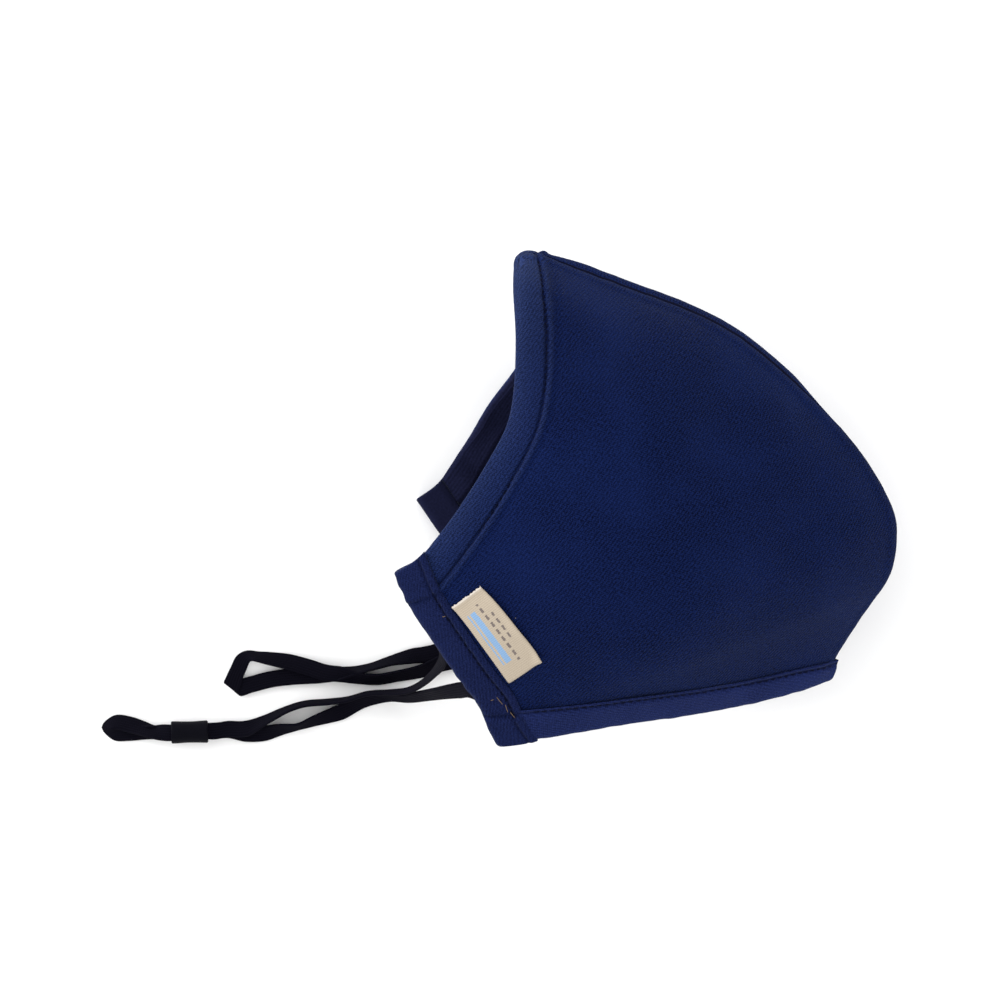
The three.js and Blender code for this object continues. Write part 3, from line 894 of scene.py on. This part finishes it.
def band_path(width, cloth):
    """Section of a band folded round an edge, as outer and inner points (distance in
    from the edge, height over the half), from its fold outside to its end inside."""
    gap, thin, taper = 0.08, 0.55, 2.0
    half = cloth / 2
    middle = -WALL / 2
    turn = WALL / 2 + gap + half
    centre = turn + half - 0.25
    end_inside = 0.92 * width
    flat = np.linspace(width, centre, 30)
    angles = np.radians(np.linspace(90, -90, 15))[1:-1]
    inside = np.linspace(centre, end_inside, 12)
    path = [(x, gap + half) for x in flat]
    path += [(centre - turn * math.cos(t), middle + turn * math.sin(t)) for t in angles]
    path += [(x, middle - turn) for x in inside]
    path = np.array(path)
    ahead = np.gradient(path, axis=0)
    ahead /= size_of(ahead)[:, None]
    side = np.stack([ahead[:, 1], -ahead[:, 0]], axis=1)
    to_end = np.where(path[:, 1] > middle, width, end_inside) - path[:, 0]
    full = thin + (1 - thin) * smooth_step(to_end / taper)
    tip = 0.35
    tipped = full * np.sqrt(1 - (1 - np.clip(to_end / tip, 0, 1)) ** 2)
    base = path - side * half
    middle_line = base + side * (half * full)[:, None]
    spread = side * (half * tipped)[:, None]
    return middle_line + spread, middle_line - spread


def band_relief(inward, height, foot, stitches, width, seed):
    """Relief of a band's outside: a crowned edge, the stitch line and the fold."""
    outside = smooth_step((height + 0.2) / 0.8)
    crown = 0.22 * np.sin(math.pi * np.clip(inward / stitches, 0, 1))
    groove = -0.38 * bell(inward - stitches, 0.45)
    fold = 0.12 * bell(inward - (stitches + width) / 2, 0.6)
    pucker = 0.09 * np.exp(-np.abs(inward - stitches) / 1.8)
    pucker = pucker * ripples(foot, 0.3 * inward, 3.6, seed)
    uneven = 0.07 * ripples(foot, inward, 11.0, seed + 1)
    return outside * (crown + groove + fold + pucker + uneven)


def path_walk(path):
    """How far along a path its points lie."""
    return np.concatenate([[0], np.cumsum(size_of(np.diff(path, axis=0)))])


def end_rounding(foot, length, radius):
    """How full a band is near its two ends, from 0 to 1."""
    near = np.minimum(foot, length - foot) / radius
    return np.sqrt(np.clip(1 - (1 - np.clip(near, 0, 1)) ** 2, 0, 1))


def band_faces(outer, inner, relief, scallop, full):
    """Both faces of a band, as distances in from the edge and heights, drawn together
    where it isn't full."""
    centre = (outer + inner) / 2
    for path, lift in ((outer, relief), (inner, 0)):
        inward = centre[..., 0] + (path - centre)[..., 0] * full + scallop
        height = centre[..., 1] + (path - centre)[..., 1] * full + lift * full
        yield inward, height


def make_side_band(side, settings):
    width = SIDE_BAND_WIDTH
    outer_path, inner_path = band_path(width, settings.cloth / MM)
    rows = lines((0.02, 5), (0.98, 130), (1.0, 5))
    along = rows[:, None] + 0 * outer_path[None, :, 0]
    foot = along * EAR.length
    length = across_length(rows)[:, None]
    stitches = settings.side_stitches / MM
    inward, height = outer_path[None, :, 0], outer_path[None, :, 1]
    relief = band_relief(inward, height, foot, stitches, width, 31)
    relief = relief + side_band_creases(foot, inward, height)
    scallop = 0.12 * ripples(foot, 0, 4.2, 33) * bell(inward, 2.5)
    full = end_rounding(foot, EAR.length, 0.6)
    spots = [on_floor(on_half(side, x / length, along, y))
             for x, y in band_faces(outer_path, inner_path, relief, scallop, full)]
    walk = path_walk(outer_path)
    cloth = np.stack([foot, width - walk[None, :] + 0 * foot], axis=-1)
    maps = (("cloth", cloth, cloth), ("edges", cloth[..., ::-1], cloth[..., ::-1] - 40))
    return closed_cloth(f"{side}_side_band_cloth", *spots, maps, dark_inside_from=BAND_DARK_INSIDE_FROM)


def side_band_creases(foot, inward, height):
    """The hem ends under the side band show as steps across it."""
    outside = smooth_step((height + 0.2) / 0.8)
    share = np.clip(inward / SIDE_BAND_WIDTH, 0, 1)
    from_top = EAR.length - foot - (7.9 + 1.2 * share)
    from_chin = foot - (7.9 - 1.1 * share)
    relief = 0
    for away, step in ((from_top, 0.6), (from_chin, 0.9)):
        relief = relief + step * (1 - smooth_step((away + 0.45) / 0.9))
        relief = relief - 0.7 * step * bell(away - 0.5, 0.4)
    return relief * outside


def make_chin_band(side, settings):
    tucked = SIDE_BAND_WIDTH - CHIN_BAND_TUCKED
    start = float(tucked / across_length(0))
    shares = lines((0.02, 4), (0.96, 150), (0.985, 12), (1.0, 12))
    rows = start + (1 - start) * shares
    widths = chin_band_width(rows)
    paths = [band_path(width, settings.cloth / MM) for width in widths]
    outer_path, inner_path = (np.stack(sides) for sides in zip(*paths))
    inward, height = outer_path[..., 0], outer_path[..., 1]
    width = widths[:, None]
    start = tucked / across_length(inward[0] / along_length(start))
    across = start + (1 - start) * shares[:, None]
    foot = across * CHIN.length
    length = along_length(rows)[:, None]
    stitches = width - settings.chin_stitches / MM
    relief = band_relief(inward, height, foot, stitches, width, 41)
    near_front = smooth_step(1 - (CHIN.length - foot) / 5)
    relief = relief - 0.4 * near_front * smooth_step(inward / width)
    scallop = 0.10 * ripples(foot, 0, 4.6, 43) * bell(inward, 2.5)
    full = end_rounding(foot - foot[0], foot[-1] - foot[0], 0.5)
    spots = [on_floor(on_half(side, across, x / length, y))
             for x, y in band_faces(outer_path, inner_path, relief, scallop, full)]
    walk = np.stack([path_walk(path) for path in outer_path])
    cloth = np.stack([foot, width - walk], axis=-1)
    edges = np.stack([walk, foot], axis=-1)
    maps = (("cloth", cloth, cloth), ("edges", edges, edges + 40))
    return closed_cloth(f"{side}_chin_band_cloth", *spots, maps, dark_inside_from=BAND_DARK_INSIDE_FROM)


def on_floor(points):
    points[..., 2] = np.maximum(points[..., 2], FLOOR_GAP)
    return points


# ------------------------------------------------------------------ stitches

def stitch_mesh(name, starts, ends, normals, radius):
    """Stitches as one mesh: each a rounded length of thread that rises from the cloth
    and sinks back into it. All in millimetres."""
    rings, sides = 7, 6
    share = np.linspace(0, 1, rings)
    girth = radius * np.sqrt(np.clip(1 - (2 * share - 1) ** 4, 0.04, 1))
    rise = radius * (1.3 * np.sin(math.pi * share) - 0.45)
    angles = np.arange(sides) * TURN / sides
    ahead = ends - starts
    ahead /= size_of(ahead)[:, None]
    side = np.cross(normals, ahead)
    points, faces, spots = [], [], []
    for n, (start, end) in enumerate(zip(starts, ends)):
        centre = start + share[:, None] * (end - start) + rise[:, None] * normals[n]
        turn = (np.cos(angles)[None, :, None] * side[n]
                + np.sin(angles)[None, :, None] * normals[n])
        points.append((centre[:, None] + girth[:, None, None] * turn).reshape(-1, 3))
        base = n * rings * sides
        ids = base + np.arange(rings * sides).reshape(rings, sides)
        faces += ring_quads(ids) + [ids[0, ::-1].tolist(), ids[-1].tolist()]
        along = np.repeat(share * size_of(end - start), sides)
        spots.append(np.stack([along, np.tile(angles / TURN, rings)], axis=1))
    return loose_mesh(name, np.concatenate(points), faces, np.concatenate(spots))


def loose_mesh(name, points, faces, spots):
    mesh = bpy.data.meshes.new(name)
    mesh.from_pydata((points * MM).tolist(), [], faces)
    lay_map(mesh, "thread", spots)
    mesh.polygons.foreach_set("use_smooth", [True] * len(mesh.polygons))
    if mesh_volume(mesh) < 0:
        mesh.flip_normals()
    piece = bpy.data.objects.new(name, mesh)
    bpy.context.scene.collection.objects.link(piece)
    return piece


def stitch_row(side, across, along, height, pitch, seed):
    """Starts, ends and normals of stitches along a line of places on a half."""
    line = on_half(side, across, along, height)
    walked = np.concatenate([[0], np.cumsum(size_of(np.diff(line, axis=0)))])
    count = int(walked[-1] / pitch)
    rng = np.random.default_rng(seed)
    begin = (np.arange(count) + 0.16 + 0.08 * rng.random(count)) * pitch
    finish = begin + pitch * (0.66 + 0.08 * rng.random(count))
    normal = outward(side, across, along)

    def pick(values, at):
        return np.stack([np.interp(at, walked, values[:, k]) for k in range(3)], axis=1)

    normals = pick(normal, (begin + finish) / 2)
    normals /= size_of(normals)[:, None]
    return pick(line, begin), pick(line, finish), normals


def make_loose_bits():
    """Short bits of thread caught on the right side band's outside."""
    bits = Bit(*np.array(LOOSE_BITS).T)
    turn = np.radians(bits.turn)
    half_down, half_in = bits.length / 2 * np.cos(turn), bits.length / 2 * np.sin(turn)
    starts, ends = (
        on_half("right", *beside_ear(bits.inward + sign * half_in,
                                     bits.down + sign * half_down), 1.25)
        for sign in (-1, 1))
    normals = outward("right", *beside_ear(bits.inward, bits.down))
    return stitch_mesh("loose_threads", starts, ends, normals, 0.08)


def hem_line(hem):
    """Places at the hem's width from the top edge, from the ear band to the seam."""
    across = np.linspace(0.0, 1.0, 160)
    along = np.linspace(0.80, 1.0, 120)
    grid_along, grid_across = np.meshgrid(along, across, indexing="ij")
    distance, foot = edge_measure(half_surface(grid_across, grid_along), TOP)
    share = distance / hem_at(foot, hem)
    found = [np.interp(1, share[::-1, i], along[::-1]) for i in range(len(across))]
    found = np.array(found)
    inward = across * across_length(found)
    kept = (inward > SIDE_BAND_WIDTH + 0.3) & (across < 0.995)
    return across[kept], found[kept]


# ------------------------------------------------------------------ the label

def make_label(settings):
    length, width = settings.length / MM, settings.width / MM
    thickness, base = 0.45, 0.28
    along_share, across_share = np.linspace(0, 1, 60), np.linspace(0, 1, 28)
    down, wide = np.meshgrid(along_share, across_share, indexing="ij")
    fray = 0.16 * ripples(wide * width, 0, 0.9, 51) * (1 - smooth_step(down / 0.04))
    down = down + fray / length
    corners = [beside_ear(np.float64(side.inward), np.array((side.start, side.end)))
               for side in LABEL_SIDES]
    (near_across, near_along), (far_across, far_along) = corners

    def between(near, far):
        start = near[0] + wide * (far[0] - near[0])
        end = near[1] + wide * (far[1] - near[1])
        return start + down * (end - start)

    across, along = between(near_across, far_across), between(near_along, far_along)
    curl = 0.6 * smooth_step((wide - 0.72) / 0.28) * smooth_step((down - 0.86) / 0.14)
    curl = curl + 0.35 * smooth_step((wide - 0.8) / 0.2)
    curl = curl + 0.25 * (1 - smooth_step(down / 0.08))
    wavy = 0.08 * ripples(down * length, wide * width, 9.0, 52)
    height = base + np.clip(curl + wavy, 0, None)
    edge = np.minimum(np.minimum(down, 1 - down) * length,
                      np.minimum(wide, 1 - wide) * width)
    full = np.clip(edge / 0.2, 0, 1)
    middle = height + thickness / 2
    outer = on_half("right", across, along, middle + thickness / 2 * full)
    inner = on_half("right", across, along, middle - thickness / 2 * full)
    spot = np.stack([down * length, wide * width], axis=-1)
    return closed_cloth("label_ribbon", outer, inner, (("cloth", spot, spot),))


def ribbon_weave(settings):
    """Cream ribbon with fine ribs, a woven stripe and two rows of dashes."""
    paint = Paint("ribbon", Specular_IOR_Level=0.25, Sheen_Weight=0.1)
    u, v, spot = paint.place("cloth")
    ribs = (u / 0.5 + paint.noise(spot, 0.8) * 0.3).wave() * 0.5 + 0.5
    yarn = paint.noise(spot, 3.5, 2.0)
    ground = tuple(settings.ribbon)
    shade = times(0.80, ground)
    cloth = paint.mix(ribs * 0.45 + yarn * 0.45, shade, ground)
    ragged = (yarn - 0.5) * 0.5

    def between(value, low, high):
        return (value + ragged > low) * (value + ragged < high)

    stripe = between(v, 2.6, 4.2) * between(u, 4.0, 18.6)
    thin = between(v, 1.7, 2.05) * between(u, 4.0, 18.6)
    cloth = paint.mix((stripe + thin) * 0.9, cloth, tuple(settings.stripe))
    dash = between((u / 2.1).fraction() * 2.1, 0.0, 1.35)
    upper = between(v, 5.5, 6.2) * between(u, 3.0, 19.6) * dash
    lower = between(v, 7.3, 7.9) * between(u, 6.6, 14.6) * dash
    cloth = paint.mix((upper + lower) * 0.85, cloth, tuple(settings.dashes))
    edge = 1 - paint.smooth(u, 0.0, 0.9)
    cloth = paint.mix(edge * 0.4, cloth, (0.62, 0.60, 0.58, 1))
    paint.colour(cloth)
    paint.rough(0.85 - 0.08 * ribs)
    paint.relief(ribs * 0.7 + yarn * 0.5, 0.05 * MM)
    return paint.material


# ------------------------------------------------------------------ the elastics

def elastic_section(width, thickness):
    """Section of a flat ribbed elastic, anticlockwise, across and up."""
    points = []
    across = np.linspace(width / 2 - 0.25, -width / 2 + 0.25, 17)
    ribs = 0.05 * np.cos(TURN * across / 0.62)
    top = [(x, thickness / 2 + r - 0.05) for x, r in zip(across, ribs)]
    edge = [(-width / 2, thickness * 0.25), (-width / 2, -thickness * 0.25)]
    points += top + edge
    points += [(-x, -y) for x, y in top]
    points += [(-x, -y) for x, y in edge]
    return np.array(points)


def width_vectors(route, line, width):
    """The flat elastic's width at each point of its route, as vectors that turn from
    one point to the next by less than half a turn."""
    spans = len(route) - 1
    places = np.arange(len(route)) / spans
    nudge = 0.1 / spans
    ahead = line.at(places + nudge) - line.at(places - nudge)
    vectors = []
    for step, stretch in zip(ahead, route):
        level = np.array((-step[1], step[0], 0.0))
        level /= np.linalg.norm(level)
        up = np.cross(step, level)
        up /= np.linalg.norm(up)
        if stretch.bearing is not None:
            bearing = math.radians(stretch.bearing)
            level = np.array((math.cos(bearing), math.sin(bearing), 0.0))
        roll = math.radians(stretch.roll)
        vector = (stretch.wide or width) * (math.cos(roll) * level + math.sin(roll) * up)
        if vectors and vector @ vectors[-1] < 0:
            vector = -vector
        vectors.append(vector)
    return np.array(vectors)


def make_elastic(name, route, settings, steps):
    """A flat elastic along its route, turned about its line as the route says."""
    width, thickness = settings.width / MM, settings.thickness / MM
    line = SmoothLine([(s.x, s.y, s.z) for s in route])
    share = np.linspace(0, 1, steps + 1)
    centre = line.along(share)
    knots = np.interp(share * line.length, line.lengths, line.ticks) * (len(route) - 1)
    vectors = width_vectors(route, line, width)
    across = np.stack([np.interp(knots, np.arange(len(route)), vectors[:, k])
                       for k in range(3)], axis=1)
    for _ in range(4):
        across[1:-1] = (across[:-2] + 2 * across[1:-1] + across[2:]) / 4
    ahead = np.gradient(centre, axis=0)
    face = np.cross(ahead, across)
    face /= size_of(face)[:, None]
    low = (np.abs(across[:, 2]) + np.abs(face[:, 2]) * thickness) / 2
    centre[:, 2] = np.maximum(centre[:, 2], low + 0.05)
    section = elastic_section(width, thickness)
    points = (centre[:, None] + section[None, :, :1] / width * across[:, None]
              + section[None, :, 1:] * face[:, None])
    sides = len(section)
    ids = np.arange(points.shape[0] * sides).reshape(-1, sides)
    faces = ring_quads(ids) + [ids[0, ::-1].tolist(), ids[-1].tolist()]
    along = np.repeat(share * line.length, sides)
    spots = np.stack([along, np.tile(section[:, 0], len(share))], axis=1)
    return loose_mesh(name, points.reshape(-1, 3), faces, spots), line


def knitted_elastic(settings):
    paint = Paint("elastic", Specular_IOR_Level=0.03, Sheen_Weight=0.006,
                  Sheen_Tint=(0.8, 0.8, 1.0, 1.0))
    u, v, spot = paint.place("thread")
    ribs = (v / 0.62).wave() * 0.5 + 0.5
    stitches = (u / 0.55 + (v / 0.62) * 0.5).wave() * 0.5 + 0.5
    yarn = paint.noise(spot, 2.5, 2.0)
    light = times(2.6, settings.black)
    height = ribs * 0.45 + stitches * 0.3 + yarn * 0.3
    paint.colour(paint.mix(height, tuple(settings.black), light))
    paint.rough(0.9 - 0.15 * ribs)
    paint.relief(height, 0.06 * MM)
    return paint.material


def make_stopper():
    """A soft tube, a little pinched between its rolled lips."""
    low, high = (np.array(corner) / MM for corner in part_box("cord_stopper"))
    middle = (low + high) / 2
    half, radius, bore = STOPPER_LENGTH / 2, STOPPER_DIAMETER / 2, 2.15
    rim = 0.35
    places = np.linspace(-half + rim, half - rim, 26)
    pinch = radius - 0.14 * np.cos(math.pi * places / (2 * half)) ** 2
    outside = list(zip(places, pinch))
    corner = np.radians(np.linspace(90, 0, 6))
    right_lip = [(half - rim + rim * math.cos(t), radius - rim + rim * math.sin(t))
                 for t in corner[1:]]
    left_lip = [(-x, r) for x, r in reversed(right_lip)]
    mouth = [(half - 0.1, bore + 0.12), (half - 0.45, bore)]
    profile = outside + right_lip + mouth
    profile += [(-x, r) for x, r in reversed(mouth)] + left_lip
    profile = np.array(profile)
    sides = 64
    angles = np.arange(sides) * TURN / sides
    ahead, aside = profile[:, None, 0] + 0 * angles, profile[:, None, 1] * np.cos(angles)
    cos, sin = math.cos(STOPPER_TURN), math.sin(STOPPER_TURN)
    points = np.stack([
        middle[0] + cos * ahead - sin * aside,
        middle[1] + sin * ahead + cos * aside,
        middle[2] + profile[:, None, 1] * np.sin(angles)], axis=-1)
    ids = np.arange(len(profile) * sides).reshape(-1, sides)
    turned, following = np.roll(ids, -1, axis=1), np.roll(ids, -1, axis=0)
    quads = np.stack([ids, turned, np.roll(turned, -1, axis=0), following], axis=-1)
    spots = np.stack([np.repeat(profile[:, 0], sides),
                      np.tile(angles * radius, len(profile))], axis=1)
    return loose_mesh("stopper_tube", points.reshape(-1, 3),
                      quads.reshape(-1, 4).tolist(), spots)


def stopper_plastic(settings):
    paint = Paint("stopper_plastic", Specular_IOR_Level=0.03)
    _, _, spot = paint.place("thread")
    scuffs = paint.noise(spot, 1.4, 4.0)
    light = times(1.8, settings.tube)
    paint.colour(paint.mix(scuffs, tuple(settings.tube), light))
    paint.rough(0.38 + 0.25 * scuffs)
    paint.relief(scuffs, 0.02 * MM)
    return paint.material


# ------------------------------------------------------------------ operators

class MASK_OT_stage(bpy.types.Operator):
    """Make the pale floor, the soft studio light and the camera overhead"""

    bl_idname = "mask.stage"
    bl_label = "Stage"

    def execute(self, context):
        settings = context.scene.mask_stage
        scene = context.scene
        scene.view_settings.view_transform = "Standard"
        half = 2.0
        corners = [(-half, -half, 0), (half, -half, 0), (half, half, 0), (-half, half, 0)]
        mesh = bpy.data.meshes.new("floor")
        mesh.from_pydata(corners, [], [(0, 1, 2, 3)])
        floor = bpy.data.objects.new("floor", mesh)
        scene.collection.objects.link(floor)
        paint = Paint("floor_paint", Roughness=0.9, Specular_IOR_Level=0.0)
        paint.colour(tuple(settings.floor))
        mesh.materials.append(paint.material)
        world = bpy.data.worlds.new("studio")
        world.use_nodes = True
        world.node_tree.nodes["Background"].inputs["Strength"].default_value = settings.sky
        world.node_tree.nodes["Background"].inputs["Color"].default_value = (1, 1, 1, 1)
        scene.world = world
        lamp = bpy.data.lights.new("softbox", "AREA")
        lamp.energy = settings.lamp
        lamp.size = 1.6
        softbox = bpy.data.objects.new("softbox", lamp)
        softbox.location = (-2.0, 1.1, 0.5)
        softbox.rotation_euler = (-softbox.location).to_track_quat("-Z", "Y").to_euler()
        scene.collection.objects.link(softbox)
        self.add_camera(scene, settings)
        return {"FINISHED"}

    def add_camera(self, scene, settings):
        eye = bpy.data.cameras.new("camera")
        eye.sensor_width = 36.0
        eye.lens = eye.sensor_width * settings.camera_height / settings.view_width
        eye.clip_end = 100.0
        camera = bpy.data.objects.new("camera", eye)
        middle_height = 0.05
        camera.location = (*settings.aim, middle_height + settings.camera_height)
        scene.collection.objects.link(camera)
        scene.camera = camera


class MASK_OT_elastics(bpy.types.Operator):
    """Make both flat ear loops and the tube that gathers the right one"""

    bl_idname = "mask.elastics"
    bl_label = "Ear Loops"

    def execute(self, context):
        settings = context.scene.mask_elastic
        elastic = knitted_elastic(settings)
        tube = make_stopper()
        finish_piece(tube, "stopper_plastic", stopper_plastic(settings))
        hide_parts("cord_stopper")
        loops = (
            ("right", RIGHT_LOOP_ROUTE, 520, [tube]),
            ("left", LEFT_LOOP_ROUTE, 320, []),
        )
        for side, route, steps, on_it in loops:
            loop, line = make_elastic(f"{side}_elastic", route, settings, steps)
            finish_piece(loop, "elastic", elastic)
            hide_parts(f"{side}_ear_loop")
            path = line.along(np.linspace(0, 1, 160)) * MM
        return {"FINISHED"}


class MASK_OT_halves(bpy.types.Operator):
    """Make both cupped halves with their hems, and the hems' stitches"""

    bl_idname = "mask.halves"
    bl_label = "Twill Halves"

    def execute(self, context):
        settings = context.scene.mask_cloth
        pitch = settings.twill_pitch / MM
        hem = settings.hem_width / MM
        outside = twill("twill", tuple(settings.deep), tuple(settings.bright), 51.0,
                        pitch, ("edges", hem), hem=tuple(settings.hem_sheen))
        lining = lining_cloth("lining", tuple(settings.lining), hem)
        pattern = flat_pattern()
        across, along = hem_line(hem)
        rows = []
        for number, side in enumerate(("right", "left")):
            panel = make_panel(side, pattern, settings)
            finish_piece(panel, "twill", outside, lining)
            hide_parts(f"{side}_panel")
            rows.append(stitch_row(side, across, along, -0.25,
                                   settings.stitch_pitch / MM, 61 + number))
        stitches = stitch_mesh("hem_stitches", *map(np.concatenate, zip(*rows)), 0.12)
        navy = thread("navy_thread", (0.0006, 0.0010, 0.006, 1), (0.002, 0.003, 0.014, 1))
        finish_piece(stitches, "twill", navy)
        return {"FINISHED"}


class MASK_OT_bands(bpy.types.Operator):
    """Make the four folded bands and their stitches"""

    bl_idname = "mask.bands"
    bl_label = "Bands"

    def execute(self, context):
        settings = context.scene.mask_band
        pitch = context.scene.mask_cloth.twill_pitch / MM
        stitch_pitch = context.scene.mask_cloth.stitch_pitch / MM
        deep, bright = tuple(settings.deep), tuple(settings.bright)
        side_line, chin_line = settings.side_stitches / MM, settings.chin_stitches / MM
        side_twill = twill("side_band_twill", deep, bright, 30.0, 0.95 * pitch,
                           ("edges", side_line), 0.6)
        # Painted light: the chin band's twill is a paler copy of the side band's, standing in
        # for the light on its downward face
        chin_painted_light = [times(1.5, shade) for shade in (deep, bright)]
        chin_twill = twill("chin_band_twill", *chin_painted_light, -22.0, 0.95 * pitch,
                           ("edges", chin_line), 0.6)
        # Painted shade: the inside of the folded bands takes a dark lining colour, standing in
        # for the shade inside the cup
        lining = lining_cloth("band_inside_painted_shade", times(1.5, context.scene.mask_cloth.lining))
        share = np.linspace(0.012, 0.988, 90)
        rows = []
        for number, side in enumerate(("right", "left")):
            band = make_side_band(side, settings)
            finish_piece(band, "folded_twill", side_twill, lining)
            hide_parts(f"{side}_side_band")
            self.declare(band, settings, SIDE_BAND_WIDTH, EAR.length)
            across = side_line / across_length(share)
            rows.append(stitch_row(side, across, share, 0.85, stitch_pitch, 71 + number))
            band = make_chin_band(side, settings)
            finish_piece(band, "folded_twill", chin_twill, lining)
            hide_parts(f"{side}_chin_band")
            across = 0.1 + 0.89 * share
            widths = chin_band_width(across)
            length = CHIN.length - SIDE_BAND_WIDTH + CHIN_BAND_TUCKED
            self.declare(band, settings, widths.mean(), length)
            along = (widths - chin_line) / along_length(across)
            rows.append(stitch_row(side, across, along, 0.85, stitch_pitch, 81 + number))
        stitches = stitch_mesh("band_stitches", *map(np.concatenate, zip(*rows)), 0.12)
        navy = thread("band_thread", (0.0007, 0.0010, 0.005, 1), (0.003, 0.004, 0.014, 1))
        finish_piece(stitches, "folded_twill", navy)
        tan = thread("tan_thread", (0.09, 0.06, 0.035, 1), (0.24, 0.17, 0.10, 1))
        finish_piece(make_loose_bits(), None, tan)
        return {"FINISHED"}

    def declare(self, band, settings, width, length):
        """Measures the flat strip, as wide as the middle of the folded section is long; nothing
        uses the result.
        """
        outer, inner = band_path(width, settings.cloth / MM)
        strip = path_walk((outer + inner) / 2)[-1]


class MASK_OT_label(bpy.types.Operator):
    """Make the woven label beside the right side band"""

    bl_idname = "mask.label"
    bl_label = "Label"

    def execute(self, context):
        settings = context.scene.mask_label
        label = make_label(settings)
        finish_piece(label, "ribbon", ribbon_weave(settings))
        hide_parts("label")
        tucked = 1.5 * MM
        settings.width + tucked
        return {"FINISHED"}


class MASK_PT_panel(bpy.types.Panel):
    """Lists the mask's pieces in the sidebar"""

    bl_idname = "MASK_PT_panel"
    bl_label = "Cloth Mask"
    bl_space_type = "VIEW_3D"
    bl_region_type = "UI"
    bl_category = "Cloth Mask"

    def draw(self, context):
        for operator in OPERATORS:
            self.layout.operator(operator.bl_idname)
        for name in SETTINGS:
            group = getattr(context.scene, name)
            box = self.layout.box()
            for key in group.__annotations__:
                box.prop(group, key)


SETTINGS = {
    "mask_stage": StageSettings,
    "mask_elastic": ElasticSettings,
    "mask_cloth": ClothSettings,
    "mask_band": BandSettings,
    "mask_label": LabelSettings,
}
OPERATORS = (MASK_OT_stage, MASK_OT_elastics, MASK_OT_halves, MASK_OT_bands, MASK_OT_label)
CLASSES = (*SETTINGS.values(), *OPERATORS, MASK_PT_panel)


def register():
    for cls in CLASSES:
        bpy.utils.register_class(cls)
    for name, cls in SETTINGS.items():
        setattr(bpy.types.Scene, name, bpy.props.PointerProperty(type=cls))


def unregister():
    for name in SETTINGS:
        delattr(bpy.types.Scene, name)
    for cls in reversed(CLASSES):
        bpy.utils.unregister_class(cls)


def main():
    register()
    bpy.ops.mask.stage()
    bpy.ops.mask.elastics()
    bpy.ops.mask.halves()
    bpy.ops.mask.bands()
    bpy.ops.mask.label()


if __name__ == "__main__":
    main()
